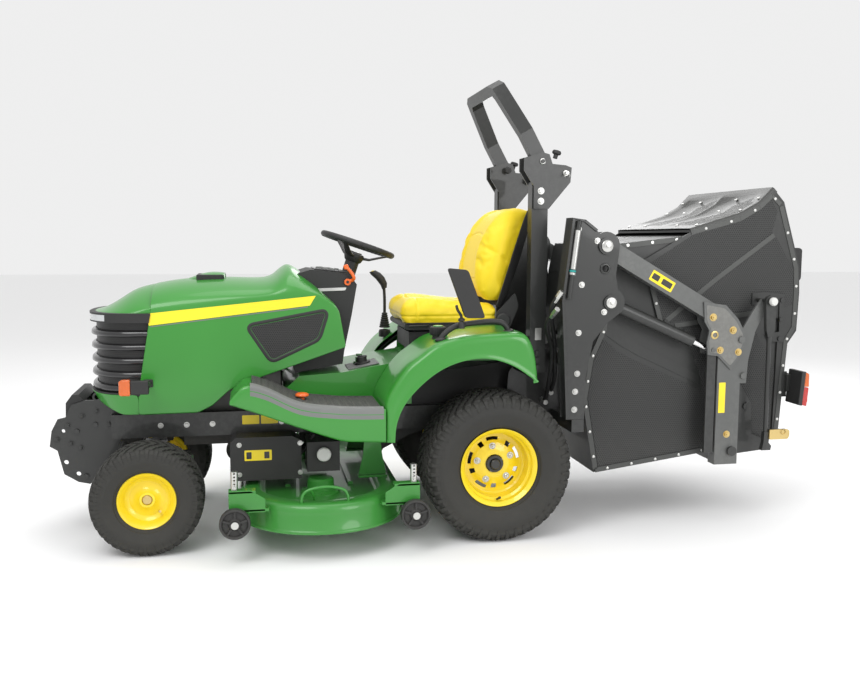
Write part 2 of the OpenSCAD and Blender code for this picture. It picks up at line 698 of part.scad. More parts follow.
seat_x = 230;
module seat_base() {
  place() color("black") {
    difference() {
      block([-165, -330, 800], [165, 40, 880]);
      block([-143, -308, 799], [143, 18, 862]);
    }
    block([-140, -300, 880], [-110, 20, 892]);
    block([110, -300, 880], [140, 20, 892]);
  }
}
module seat_cushion() {
  outline = [[-385, 930], [-340, 905], [80, 905], [75, 985], [-60, 1000], [-250, 1022], [-350, 1018], [-388, 985]];
  place() color("gold") difference() {
    union() {
      plate(-seat_x, 2 * seat_x, outline);
      block([-150, -340, 892.5], [150, 70, 906]);
      pair() bar(recline_pin, 20, seat_x - 10, seat_x + 16);
    }
    pair() block([105, -341, 892], [148, 71, 892.6]);
  }
}
back_front = [[20, 1010], [0, 1100], [6, 1196], [40, 1300], [95, 1390], [142, 1436], [200, 1458], [258, 1448]];
module seat_back_pad() {
  outline = concat([[110, 1012]], [[150, 1120], [185, 1230], [240, 1370], [258, 1448]]);
  place() color("gold") plate(-seat_x + 5, 2 * seat_x - 10,
    concat(outline, [for (i = [len(back_front) - 2:-1:0]) back_front[i]]));
}
module seat_back_shell() {
  front = [[112, 1010], [152, 1119], [187, 1229], [242, 1369], [262, 1446]];
  back = [[286, 1438], [268, 1360], [214, 1215], [180, 1105], [140, 1000]];
  place() color("black") {
    plate(-seat_x, 2 * seat_x, concat(back, [[110, 990]], front));
    pair() difference() {
      plate(seat_x + 3, 10, [[66, 908], [122, 908], [175, 1010], [150, 1060], [105, 1010], [66, 962]]);
      bar(recline_pin, 20 + 2 * fit, seat_x, seat_x + 20);
    }
    pair() block([seat_x - 4, 120, 1000], [seat_x + 6, 150, 1050]);
  }
}

module rops_hoop() {
  depth = 62;
  lean = atan2(rops_pin[0] - 41, rops_top - rops_pin[1]);
  h = (rops_top - rops_pin[1] - depth / 2 * sin(lean)) / cos(lean);
  straight = 150;
  wide = rops_x + rops_tube / 2 - gap;
  top = 248;
  t = 50;
  r = 60;
  outer = [[wide - t, -30], [wide, -30], [wide, straight], [top + 6, h - r], [top - 8, h - 22],
    [top - r, h], [-top + r, h], [-top + 8, h - 22], [-top - 6, h - r], [-wide, straight], [-wide, -30],
    [-wide + t, -30], [-wide + t, straight - 10], [-top + t - 6, h - r - 10], [-top + t + 10, h - t],
    [top - t - 10, h - t], [top - t + 6, h - r - 10], [wide - t, straight - 10]];
  place() color("black") {
    translate([0, rops_pin[0], rops_pin[1]]) rotate([lean, 0, 0]) rotate([90, 0, 0])
      translate([0, 0, -depth / 2]) linear_extrude(depth) polygon(outer);
    pair() bar(rops_pin, 18, rops_x - 55, rops_x + 55);
  }
}

module mirror_node() {
  glass = [[-238, 1186], [-160, 976], [-73, 975], [-150, 1177]];
  place() color("#333333") {
    plate(556, 18, ccw([glass[0], glass[3], glass[2], glass[1]]));
    translate(mirror_pos) cylinder(d = 20, h = 14);
    rod(mirror_pos + [0, 0, 10], [549, -216, 1000], 12);
    rod([549, -216, 1000], [549, -225, 1100], 12);
    translate([549, -216, 1000]) sphere(d = 14);
    block([546, -232, 1095], [556, -216, 1110]);
  }
}

// ---- controls ----------------------------------------------------------------

module dash_lever() {
  place() {
    color("black") difference() {
      bar(dash_pin, 30, 182, 192);
      bar(dash_pin, 12 + 2 * fit, 181, 193);
    }
    color("black") rod([187, dash_pin[0] + 13, dash_pin[1] + 5], [206, fy(886), 1132], 8);
    color("orangered") rod([206, fy(886), 1130], [208, fy(852), 1185], 18);
  }
}
module foot_button() {
  place() {
    color("black") translate(button_pos - [0, 0, 44]) cylinder(d = 18, h = 58);
    color("orangered") translate(button_pos + [0, 0, 13]) cylinder(d = 48, h = 14);
  }
}
module drive_pedals() {
  place() color("black") {
    block([-330, fy(560), 700], [-260, fy(650), 712]);
    block([-430, fy(500), 722], [-360, fy(590), 734]);
    rod([-320, fy(575), 700], [-260, fy(600), 665], 14);
  }
}
module lift_lever() {
  place() {
    color("black") translate(lever_pos + [0, 0, 6]) cylinder(d1 = 50, d2 = 26, h = 76);
    color("black") translate(lever_pos - [0, 0, 14]) cylinder(d = 12, h = 60);
    color("black") block(lever_pos + [-8, -8, 70], lever_pos + [8, 8, 210]);
    color("black") plate(lever_pos[0] - 7, 14, [[lever_pos[1] - 58, 1124], [lever_pos[1] - 4, 1056],
      [lever_pos[1] + 8, 1060], [lever_pos[1] + 8, 1066], [lever_pos[1] - 50, 1132]]);
    color("black") bar([lever_pos[1] - 62, 1130], 40, lever_pos[0] - 17, lever_pos[0] + 17);
  }
}
module filler_cap() {
  place() color("black") translate(cap_pos + [0, 0, 0.3]) {
    cylinder(d = 60, h = 64);
    translate([0, 0, 64]) cylinder(d = 68, h = 30);
  }
}

// ---- mower deck -----------------------------------------------------------------

deck_top = deck_z + 122;
gauge_x = deck_w / 2 - 88;
gauge_y = deck_l / 2 + 12;
gauge_z = deck_z + 56;
blade_x = (deck_w - deck_l) / 2;
module deck_plan(l) {
  for (s = [-1, 1]) translate([s * blade_x, 0]) circle(d = l, $fn = 96);
  square([2 * blade_x, l], center = true);
}
module deck_shell() {
  y_hang = 220;
  place() color("green") translate([0, y_deck, 0]) {
    difference() {
      translate([0, 0, deck_z]) linear_extrude(deck_top - deck_z) deck_plan(deck_l);
      translate([0, 0, deck_z - 1]) linear_extrude(deck_top - deck_z + 1 - skin) deck_plan(deck_l - 2 * skin);
      for (s = [-1, 1]) translate([s * blade_x, 0, deck_z]) cylinder(d = 30 + 2 * fit, h = 300);
      translate([-80, deck_l / 2 - 12, deck_z + 10]) cube([240, 20, deck_top - deck_z - 40]);
    }
    for (s = [-1, 1]) translate([s * blade_x, 0, deck_top]) difference() {
      cylinder(d = 150, h = 42);
      translate([0, 0, -1]) cylinder(d = 30 + 2 * fit, h = 30);
    }
    pair() plate(tunnel_x + 14, 8, [[y_hang - 46, deck_top], [y_hang + 84, deck_top], [y_hang + 66, 330],
      [y_hang + 50, 407], [y_hang - 14, 407]]);
    pair() bent([[640, -95, deck_top], [640, -85, 285], [640, -20, 300], [640, 70, 285], [640, 85, deck_top]], 12);
    pair() for (s = [-1, 1]) scale([1, s, 1]) difference() {
      union() {
        translate([0, 0, deck_top - 30]) linear_extrude(18) polygon([[gauge_x - 120, gauge_y - 60],
          [gauge_x - 20, gauge_y - 140], [gauge_x + 24, gauge_y - 140], [gauge_x + 24, gauge_y + 24],
          [gauge_x - 24, gauge_y + 24]]);
        block([gauge_x - 24, gauge_y - 24, deck_top - 30], [gauge_x + 24, gauge_y + 24, deck_top + 60]);
        block([gauge_x + 18, gauge_y - 124, deck_top - 34], [gauge_x + 24, gauge_y + 24, deck_top + 60]);
      }
      translate([gauge_x, gauge_y, 0]) cylinder(d = 29, h = 400);
    }
  }
}

// Punched posts that set the height of the gauge wheels
module gauge_posts() {
  place() color("silver") translate([0, y_deck, 0]) pair() for (s = [-1, 1])
    translate([gauge_x, s * gauge_y, 0]) {
      difference() {
        translate([0, 0, gauge_z - 14]) cylinder(d = 28, h = 214);
        for (k = [0:4]) translate([-30, 0, deck_top + 72 + 14 * k]) rotate([0, 90, 0]) cylinder(d = 8, h = 60);
      }
      translate([0, 0, gauge_z]) rotate([0, 90, 0]) cylinder(d = 16, h = 80);
      translate([26, 0, gauge_z]) rotate([0, 90, 0]) cylinder(d = 30, h = 5.6);
      translate([75.5, 0, gauge_z]) rotate([0, 90, 0]) cylinder(d = 30, h = 6);
    }
}
module gauge_wheel_pair(s) {
  place() color("#1c1c1c") translate([0, y_deck + s * gauge_y, gauge_z]) pair()
    translate([gauge_x + 32, 0, 0]) rotate([0, 90, 0]) difference() {
      union() {
        rotate_extrude($fn = 64) polygon([[20, 4], [gauge_d / 2 - 6, 0], [gauge_d / 2, 8],
          [gauge_d / 2, 34], [gauge_d / 2 - 6, 42], [20, 38]]);
        cylinder(d = 42, h = 42);
      }
      translate([0, 0, -1]) cylinder(d = 16 + 2 * fit, h = 60);
    }
}
module gauge_wheels_front() { gauge_wheel_pair(-1); }
module gauge_wheels_rear() { gauge_wheel_pair(1); }

module blade(s) {
  reach = min(blade_x, deck_l / 2 - skin) - 6;
  place() color("silver") translate([s * blade_x, y_deck, 0]) {
    translate([0, 0, deck_z + 12]) cylinder(d = 30, h = deck_top - deck_z + 14);
    difference() {
      translate([0, 0, deck_z + 14]) linear_extrude(6) polygon([[-reach, -30], [-reach + 90, -30],
        [reach, -30], [reach, 30], [reach - 90, 30], [-reach, 30]]);
      translate([0, 0, deck_z + 10]) cylinder(d = 30 - 0.01, h = 20);
    }
    translate([0, 0, deck_z + 4]) cylinder(d = 44, h = 8, $fn = 6);
  }
}
module blade_left() { blade(1); }
module blade_right() { blade(-1); }

// ---- collector ---------------------------------------------------------------------

arm_dir = [cos(-29.8), sin(-29.8)];
module lift_arms() {
  cheek_t = 8;
  half = 39;
  box_end = lift_pin + 640 * arm_dir;
  across = [-arm_dir[1], arm_dir[0]];
  box = concat([lift_pin + 70 * arm_dir - half * across, box_end - half * across, box_end + half * across,
    lift_pin + 70 * arm_dir + half * across], []);
  post = [[1036, 279], [1149, 279], [1149, 900], [1100, 960], [1036, 960]];
  gusset = [[975, 850], [980, 790], [1030, 783], [1095, 720], [1135, 770], [1165, 840],
    [1165, 880], [1125, 950], [1062, 1014], [953, 1030], [960, 940], [985, 900]];
  claw = concat([[1149, 655], [1180, 655], [1186, 760], [1215, 890], [1262, 990], [1240, 1040]],
    [[1200, 985], [1149, 900]]);
  place() color("dimgray") pair() {
    difference() {
      union() {
        plate(arm_x, arm_w, box);
        plate(arm_x, arm_w, [lift_pin + 0 * arm_dir - half * across, lift_pin + 72 * arm_dir - half * across,
          lift_pin + 72 * arm_dir + half * across, lift_pin + half * across]);
        bar(lift_pin, 2 * half, arm_x, arm_end);
        plate(arm_x, arm_w, post);
        for (x = [arm_x - 4, arm_end]) plate(x, x < arm_x ? 4 : cheek_t, gusset);
        plate(arm_end - 10, 10, claw);
      }
      bar(lift_pin, arm_pin_d + 2 * fit, arm_x - 10, arm_end + 20);
      bar(foot_pin, 30 + 2 * fit, arm_x - 10, arm_end + 20);
      bar([1010, 880], 22, arm_end - 1, arm_end + 20);
    }
    bar(rod_pin, 20, arm_end - 18, arm_end + cheek_t + 6);
    bolt([1143, 857], arm_end + cheek_t, 34, 10);
    bolt([1161, 690], arm_end, 30, 10);
  }
}

ram_len = norm(rod_pin - ram_pin);
ram_tilt = atan2(rod_pin[1] - ram_pin[1], rod_pin[0] - ram_pin[0]);
ram_x = arm_x + arm_w / 2;
barrel_len = ram_len - 95;
module along_ram() {
  translate([ram_x, ram_pin[0], ram_pin[1]]) rotate([ram_tilt, 0, 0]) rotate([-90, 0, 0]) children();
}
module ram_barrels() {
  barrel_d = arm_w - 4;
  place() color("dimgray") pair() difference() {
    union() {
      along_ram() translate([0, 0, 34]) cylinder(d = barrel_d, h = barrel_len - 34);
      along_ram() translate([0, 0, 0]) cylinder(d = 34, h = 60);
      bar(ram_pin, 58, arm_x + 2, arm_end - 2);
    }
    along_ram() translate([0, 0, 80]) cylinder(d = barrel_d - 10, h = barrel_len - 100);
    along_ram() translate([0, 0, 80]) cylinder(d = 28 + 2 * fit, h = barrel_len);
    bar(ram_pin, 30 + 2 * fit, arm_x - 1, arm_end + 1);
  }
}
module ram_rods() {
  eye = 24;
  place() color("silver") pair() difference() {
    union() {
      along_ram() translate([0, 0, 84]) cylinder(d = 28, h = ram_len - 104);
      along_ram() translate([0, 0, 84]) cylinder(d = arm_w - 14.4, h = 26);
      bar(rod_pin, 50, ram_x - eye / 2, ram_x + eye / 2);
    }
    bar(rod_pin, 22, ram_x - eye, ram_x + eye);
  }
}

// Struts that swing onto the ram rods to hold the collector up for servicing
module safety_props() {
  x = arm_end - 16;
  place() color("black") pair() difference() {
    union() {
      block([x, rod_pin[0] - 21, 335], [x + 12, rod_pin[0] + 22, rod_pin[1]]);
      bar(rod_pin, 42, x, x + 12);
      block([x - 14, rod_pin[0] - 18, 335], [x, rod_pin[0] + 18, 420]);
    }
    bar(rod_pin, 20 + 2 * fit, x - 20, x + 20);
  }
}

// Brackets under the collector: arms carry them, and the box tips on them
module tilt_brackets() {
  t = 8;
  outline = [[1096, 300], [1330, 322], [1330, 372], [1262, 400], [1258, 470], [1254, 545], [1240, 570],
    [1190, 640], [1182, 812], [1160, 812], [1150, 620], [1075, 480], [1078, 310]];
  place() color("dimgray") {
    pair() difference() {
      union() {
        plate(tilt_x, t, outline);
        bar(foot_pin, 56, tilt_x + t, arm_x - gap);
      }
      bar(dump_pin, 24 + 2 * fit, tilt_x - 1, tilt_x + t + 1);
      block([tilt_x - 1, 1165, 380], [tilt_x + t + 1, 1190, 440]);
    }
    pair() bar(foot_pin, 30, arm_x - gap, arm_end + 6);
    pair() bar(foot_pin, 44, arm_end + 6, arm_end + 16);
    difference() {
      block([-tilt_x, 1096, 262], [tilt_x, 1150, 300]);
      block([-tilt_x + 5, 1101, 267], [tilt_x - 5, 1145, 295]);
    }
    pair() block([tilt_x, 1096, 262], [tilt_x + t, 1150, 310]);
  }
}

box_outline = concat([[488, 245], [1388, 366]], arc(gate_pin[0], gate_pin[1], 606, -13, 51, 12),
  [[1160, 1392], [921, 1325], [560, 1285], [530, 1140], [512, 901], [453, 767], [428, 588]]);
module hopper_box() {
  wall = 4;
  inner = inset(box_outline, wall);
  place() color("#3a3a3a") {
    difference() {
      plate(-side_x, 2 * side_x, box_outline);
      plate(-side_x + wall, 2 * (side_x - wall), inner);
      plate(-side_x + wall, 2 * (side_x - wall), concat([[1340, 380], [1500, 380], [1500, 1500], [1176, 1500]],
        ccw(arc(gate_pin[0], gate_pin[1], 570, -13, 51, 12))));
      block([-150, 380, 585], [220, 520, 860]);
    }
    pair() plate(side_x, 3, [[497, 902], [553, 955], [692, 830], [993, 685], [996, 640], [690, 780], [595, 832]]);
    pair() difference() {
      bar(gate_pin, 60, side_x, gate_x - 1);
      bar(gate_pin, 20, side_x - 1, gate_x + 10);
    }
    pair() bar(gate_pin, 20, side_x - wall, gate_x + skin + 8);
    pair() bar(dump_pin, 44, side_x, tilt_x - 1);
    pair() bar(dump_pin, 24, tilt_x - 1, tilt_x + 10);
    pair() bar(dump_pin, 34, tilt_x + 10, tilt_x + 16);
  }
}

module hopper_mesh() {
  t = 2.5;
  low = [[510, 268], [1360, 382], [1378, 700], [1340, 780], [1260, 905], [906, 905], [1014, 640],
    [1010, 610], [690, 750], [590, 800], [520, 860], [476, 760], [452, 590]];
  place() color("#2a2a2a") pair() difference() {
    plate(side_x, t, low);
    bar(dump_pin, 46, side_x - 1, side_x + t + 1);
  }
}

gate_outline = [[1405, 384], [1432, 828], [1478, 887], [1484, 1065], [1478, 1182], [1385, 1481],
  [1328, 1542], [1262, 1475], [1166, 1422], [921, 1350]];
module tailgate() {
  t = skin;
  inner = [[1396, 380], [1423, 830], [1466, 890], [1472, 1065], [1466, 1180], [1375, 1475],
    [1326, 1524], [1268, 1468], [1168, 1412], [921, 1340]];
  side_in = [[921, 1330], [1150, 1370], [1330, 1330], [1400, 1180], [1398, 1040], [1340, 1010],
    [830, 905], [790, 920], [785, 950], [700, 1190], [720, 1200]];
  cover_x = gate_x + t;
  ear = [[1240, 1060], [1300, 1066], [1402, 1058], [1412, 830], [1340, 835], [1322, 870], [1385, 880],
    [1380, 1020], [1300, 1024], [1262, 1000], [1240, 1010]];
  box_z = [1117, 1262];
  place() color("#2f2f2f") {
    plate(-cover_x, 2 * cover_x, concat(gate_outline, ccw(inner)));
    pair() difference() {
      plate(gate_x, t, concat([[1375, 392], [1396, 392], [1423, 830], [1466, 890], [1472, 1065], [1466, 1180],
        [1375, 1475], [1326, 1524], [1268, 1468], [1168, 1412], [921, 1340]],
        [[700, 1215], [785, 920], [815, 900], [850, 905], [1250, 960], [1400, 940], [1382, 840]]));
      bar(gate_pin, 20 + 2 * fit, gate_x - 1, gate_x + t + 1);
    }
    pair() plate(cover_x, 7, ear);
    pair() bar(latch_pin, 18, cover_x + 7, arm_end + 44);
    pair() bar(latch_pin, 40, cover_x, cover_x + 7);
    pair() for (p = [[1392, 1028], [1390, 939], [1387, 847]]) bar(p, 20, cover_x + 7, cover_x + 14);
    block([-300, 1486, box_z[0]], [300, 1556, box_z[1]]);
    block([-300, 1466, 1150], [300, 1488, 1180]);
    pair() block([cover_x - 8, 1404, 570], [cover_x, 1440, 690]);
  }
}

// Bars that hang from the tailgate's ears and hold its foot closed
module latch_bars() {
  x = arm_end + 24;
  foot = [1274, 420];
  place() color("dimgray") pair() difference() {
    union() {
      plate(x - 10, 22, concat(arc(latch_pin[0], latch_pin[1], 26, 0, 180, 8), [[1250, 900], [1258, 870],
        [1284, 870], [1292, 900]]));
      rod([x, 1271, 880], [x, foot[0], foot[1]], 20);
      plate(x - 12, 24, [[1252, 345], [1296, 345], [1300, 365], [1286, 380], [1290, 430], [1262, 430], [1260, 380]]);
      block([x - 4, 1290, 395], [x + 8, 1372, 440]);
    }
    bar(latch_pin, 18 + 2 * fit, x - 20, x + 20);
  }
}

module tail_lamps() {
  x0 = gate_x + skin;
  place() pair() {
    color("#333333") plate(x0, 6, [[1420, 560], [1420, 700], [1466, 704], [1458, 545]]);
    color("#333333") plate(x0, 110, [[1432, 560], [1437, 560], [1450, 690], [1445, 690]]);
    color("orange") plate(x0 + 6, 104, [[1462, 636], [1494, 634], [1490, 693], [1466, 704]]);
    color("red") plate(x0 + 6, 104, [[1452, 546], [1483, 540], [1494, 633], [1462, 635]]);
    color("#333333") plate(x0 + 6, 104, [[1440, 556], [1453, 556], [1466, 690], [1452, 690]]);
  }
}

frame_rails();
hitch_plates();
bumper_cap();
engine();
side_housings();
rear_axle();
footboards();
foot_mats();
floor_cover();
rear_fenders();
fender_liners();
dash_console();
rops_posts();
rear_frame();
lift_towers();
hydraulic_hoses();
grass_chute();
front_axle();
knuckle_left();
knuckle_right();
tie_rod();
front_rim_left();
front_tyre_left();
front_rim_right();
front_tyre_right();
rear_rim_left();
rear_tyre_left();
rear_rim_right();
rear_tyre_right();
steering_wheel();
hood();
hood_trim();
front_lamps();
seat_base();
seat_cushion();
seat_back_shell();
seat_back_pad();
rops_hoop();
mirror_node();  // mirror
dash_lever();
foot_button();
drive_pedals();
lift_lever();
filler_cap();
deck_shell();
gauge_posts();
gauge_wheels_front();
gauge_wheels_rear();
blade_left();
blade_right();
lift_arms();
ram_barrels();
ram_rods();
safety_props();
tilt_brackets();
hopper_box();
hopper_mesh();
tailgate();
latch_bars();
tail_lamps();
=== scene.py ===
import math
import bmesh
import bpy
from mathutils import Matrix, Vector


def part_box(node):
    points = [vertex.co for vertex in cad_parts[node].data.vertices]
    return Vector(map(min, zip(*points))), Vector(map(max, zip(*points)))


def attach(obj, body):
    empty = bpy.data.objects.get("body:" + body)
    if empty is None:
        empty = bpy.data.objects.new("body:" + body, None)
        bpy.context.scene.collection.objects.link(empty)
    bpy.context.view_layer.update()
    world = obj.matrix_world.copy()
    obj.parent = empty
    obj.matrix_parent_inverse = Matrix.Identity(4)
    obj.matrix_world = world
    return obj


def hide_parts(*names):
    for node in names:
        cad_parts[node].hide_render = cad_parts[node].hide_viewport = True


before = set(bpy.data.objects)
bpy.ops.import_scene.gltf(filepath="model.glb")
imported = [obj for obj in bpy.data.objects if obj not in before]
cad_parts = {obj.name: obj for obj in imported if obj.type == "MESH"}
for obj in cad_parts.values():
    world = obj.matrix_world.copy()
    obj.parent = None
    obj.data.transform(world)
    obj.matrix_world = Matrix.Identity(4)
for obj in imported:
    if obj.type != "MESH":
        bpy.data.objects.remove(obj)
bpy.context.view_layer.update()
print("frame loaded:", len(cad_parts), "nodes")

rearLow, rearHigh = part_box("rear_tyre_left")
frontLow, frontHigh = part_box("front_tyre_left")
rearY = (rearLow[1] + rearHigh[1]) / 2      # the rear axle, from which lengths are measured
wheelbase = rearY - (frontLow[1] + frontHigh[1]) / 2


# places and small mesh tools: lengths are millimetres from the rear axle, on the ground

def at(x, y, z):
    return Vector((x / 1000, y / 1000 + rearY, z / 1000))


def fy(behindFrontAxle):
    return behindFrontAxle - wheelbase * 1000


def lerp(a, b, t):
    return a + (b - a) * t


def smoothPath(points, steps=6, closed=False):
    n = len(points)
    out = []
    for i in range(n if closed else n - 1):
        a, b, c, d = (points[(i + k) % n] if closed else points[min(max(i + k, 0), n - 1)] for k in (-1, 0, 1,
                                                                                                     2))
        for s in range(steps):
            t = s / steps
            out.append(tuple(0.5 * (2 * q + (r - p) * t + (2 * p - 5 * q + 4 * r - w) * t * t
                                    + (3 * q - p - 3 * r + w) * t ** 3) for p, q, r, w in zip(a, b, c, d)))
    if not closed:
        out.append(tuple(points[-1]))
    return out


def addPrism(bm, outline, x0, x1):
    left = [bm.verts.new(at(x0, y, z)) for y, z in outline]
    right = [bm.verts.new(at(x1, y, z)) for y, z in outline]
    n = len(outline)
    bm.faces.new(left)
    bm.faces.new(right[::-1])
    for i in range(n):
        bm.faces.new((left[(i + 1) % n], left[i], right[i], right[(i + 1) % n]))


def addBlock(bm, low, high):
    (x0, y0, z0), (x1, y1, z1) = low, high
    addPrism(bm, [(y0, z0), (y1, z0), (y1, z1), (y0, z1)], x0, x1)


def turnedTo(direction):
    return Vector((0, 0, 1)).rotation_difference(Vector(direction).normalized()).to_matrix()


def addLathe(bm, profile, origin, axis, segments=32, closed=False):
    # profile is (radius, height) along the axis; radii of nearly nothing become a single point
    turn = turnedTo(axis)
    rings = []
    for r, h in profile:
        if r < 0.01:
            rings.append([bm.verts.new(origin + turn @ Vector((0, 0, h / 1000)))])
            continue
        rings.append([bm.verts.new(origin + turn @ Vector((r / 1000 * math.cos(2 * math.pi * k / segments),
                                                           r / 1000 * math.sin(2 * math.pi * k / segments),
                                                           h / 1000))) for k in range(segments)])
    pairs = list(zip(rings, rings[1:]))
    if closed:
        pairs.append((rings[-1], rings[0]))
    for a, b in pairs:
        for k in range(segments):
            j = (k + 1) % segments
            if len(a) == 1 and len(b) == 1:
                continue
            if len(a) == 1:
                bm.faces.new((a[0], b[k], b[j]))
            elif len(b) == 1:
                bm.faces.new((a[k], b[0], a[j]))
            else:
                bm.faces.new((a[k], b[k], b[j], a[j]))


def addRod(bm, a, b, d, segments=20, soft=0.8):
    axis = b - a
    long = axis.length * 1000
    s = min(soft, d / 5, long / 3)
    addLathe(bm, [(0, 0), (d / 2 - s, 0), (d / 2, s), (d / 2, long - s), (d / 2 - s, long), (0, long)], a, axis,
             segments)


def addBar(bm, y, z, d, x0, x1, segments=24, soft=0.8):
    addRod(bm, at(x0, y, z), at(x1, y, z), d, segments, soft)


def addTube(bm, points, d, segments=12, caps=True):
    # a round tube along points in metres, without twist
    points = [Vector(p) for p in points]
    tangents = [(points[min(i + 1, len(points) - 1)] - points[max(i - 1, 0)]).normalized()
                for i in range(len(points))]
    side = tangents[0].orthogonal().normalized()
    rings = []
    for p, t in zip(points, tangents):
        side = (side - t * side.dot(t)).normalized()
        up = t.cross(side)
        rings.append([p + d / 2000 * (math.cos(2 * math.pi * k / segments) * side
                                      + math.sin(2 * math.pi * k / segments) * up) for k in range(segments)])
    sectionLoft(bm, rings, capEnds=caps)


def addBolt(bm, x, y, z, d=16, h=8, out=1, washer=True):
    # a hexagon head with a washer and a stub of thread, facing along X
    if washer:
        addLathe(bm, [(0, 0), (d * 0.68, 0), (d * 0.68, h * 0.2), (0, h * 0.2)], at(x, y, z), (out, 0, 0), 24)
    addLathe(bm, [(0, h * 0.2), (d / 2, h * 0.2), (d / 2, h * 0.85), (d * 0.42, h), (0, h)], at(x, y, z),
             (out, 0, 0), 6)
    addLathe(bm, [(0, h), (d * 0.22, h), (d * 0.2, h * 1.35), (0, h * 1.35)], at(x, y, z), (out, 0, 0), 12)


def mirrorAll(bm):
    made = bmesh.ops.duplicate(bm, geom=bm.verts[:] + bm.edges[:] + bm.faces[:])["geom"]
    verts = [g for g in made if isinstance(g, bmesh.types.BMVert)]
    faces = [g for g in made if isinstance(g, bmesh.types.BMFace)]
    for v in verts:
        v.co.x = -v.co.x
    bmesh.ops.reverse_faces(bm, faces=faces)


def sharpen(bm, degrees):
    limit = math.radians(degrees)
    for e in bm.edges:
        e.smooth = len(e.link_faces) == 2 and e.calc_face_angle(0) < limit
    for f in bm.faces:
        f.smooth = True


def linkPiece(bm, name, finish):
    mesh = bpy.data.meshes.new(name)
    bm.to_mesh(mesh)
    bm.free()
    piece = bpy.data.objects.new(name, mesh)
    bpy.context.scene.collection.objects.link(piece)
    mesh.materials.append(finishes[finish])
    return piece


def finishPiece(bm, name, body, finish, both=False, bevel=0.0, sub=0, solid=0.0, angle=38, replaces=()):
    if both:
        mirrorAll(bm)
    bmesh.ops.recalc_face_normals(bm, faces=bm.faces[:])
    sharpen(bm, angle)
    piece = linkPiece(bm, name, finish)
    if solid:
        shell = piece.modifiers.new("wall", "SOLIDIFY")
        shell.thickness = solid / 1000
        shell.offset = -1
    if bevel:
        softEdges(piece, bevel)
    if sub:
        smooth = piece.modifiers.new("smooth", "SUBSURF")
        smooth.levels = smooth.render_levels = sub
    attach(piece, body)
    if replaces:
        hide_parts(*replaces)


def softEdges(piece, width, segments=2, angle=32):
    mod = piece.modifiers.new("edges", "BEVEL")
    mod.width = width / 1000
    mod.segments = segments
    mod.limit_method = "ANGLE"
    mod.angle_limit = math.radians(angle)
    mod.harden_normals = True
    mod.use_clamp_overlap = True


def sectionLoft(bm, sections, closedRing=True, capEnds=False):
    # each section is a list of points in metres, all of the same count
    rings = [[bm.verts.new(p) for p in s] for s in sections]
    n = len(rings[0])
    for a, b in zip(rings, rings[1:]):
        for k in range(n if closedRing else n - 1):
            j = (k + 1) % n
            bm.faces.new((a[k], a[j], b[j], b[k]))
    if capEnds:
        bm.faces.new(rings[0][::-1])
        bm.faces.new(rings[-1])
    return rings


# camera, floor and light

cameraSet = {"lens": 38.43, "place": (4299.8, -1052.2, 1306.1), "yaw": 11.237, "down": 6.4765, "roll": 0.23}


def makeCamera(c):
    yaw, down, roll = (math.radians(c[k]) for k in ("yaw", "down", "roll"))
    ahead = Vector((-math.cos(yaw) * math.cos(down), math.sin(yaw) * math.cos(down), -math.sin(down)))
    right = Vector((math.sin(yaw), math.cos(yaw), 0))
    up = right.cross(ahead)
    side = math.cos(roll) * right + math.sin(roll) * up
    top = -math.sin(roll) * right + math.cos(roll) * up
    data = bpy.data.cameras.new("camera")
    data.lens = c["lens"]
    data.sensor_width = 36
    data.clip_end = 60
    camera = bpy.data.objects.new("camera", data)
    turn = Matrix((side, top, -ahead)).transposed().to_4x4()
    camera.matrix_world = Matrix.Translation(at(*c["place"])) @ turn
    bpy.context.scene.collection.objects.link(camera)
    bpy.context.scene.camera = camera


makeCamera(cameraSet)
print("camera set")

lightSet = {
    "floorColor": (0.92, 0.92, 0.92), "floorSize": 60, "world": (1.0, 1.0, 1.0), "worldStrength": 0.86,
    "lamps": [
        # name, place, size, power, aimed at
        ("keyLight", (3.2, -2.6, 4.6), 3.0, 115, (0, 0, 0.6)),
        ("topLight", (-0.4, 0.4, 5.4), 4.5, 80, (0, 0, 0.5)),
        ("sideLight", (4.6, 2.8, 2.4), 2.6, 80, (0, 0.6, 0.7)),
        ("backLight", (-4.5, 1.8, 3.4), 3.2, 80, (0, 0, 0.8)),
    ],
}


def makeStudio(s):
    world = bpy.data.worlds.new("studio")
    world.use_nodes = True
    sky = world.node_tree.nodes["Background"]
    sky.inputs["Color"].default_value = (*s["world"], 1)
    sky.inputs["Strength"].default_value = s["worldStrength"]
    bpy.context.scene.world = world
    bpy.context.scene.view_settings.view_transform = "Standard"
    half = s["floorSize"] / 2
    mesh = bpy.data.meshes.new("studioFloor")
    mesh.from_pydata([(-half, -half, 0), (half, -half, 0), (half, half, 0), (-half, half, 0)], [],
                     [(0, 1, 2, 3)])
    floor = bpy.data.objects.new("studioFloor", mesh)
    bpy.context.scene.collection.objects.link(floor)
    pale = bpy.data.materials.new("palePaper")
    pale.use_nodes = True
    shader = pale.node_tree.nodes["Principled BSDF"]
    shader.inputs["Base Color"].default_value = (*s["floorColor"], 1)
    shader.inputs["Roughness"].default_value = 0.9
    shader.inputs["Specular IOR Level"].default_value = 0.2
    mesh.materials.append(pale)
    for name, place, size, power, aim in s["lamps"]:
        data = bpy.data.lights.new(name, "AREA")
        data.shape = "DISK"
        data.size = size
        data.energy = power
        lamp = bpy.data.objects.new(name, data)
        lamp.location = place
        lamp.rotation_euler = (Vector(aim) - Vector(place)).to_track_quat("-Z", "Y").to_euler()
        bpy.context.scene.collection.objects.link(lamp)


makeStudio(lightSet)
print("studio lit")


# shader groups, each built once

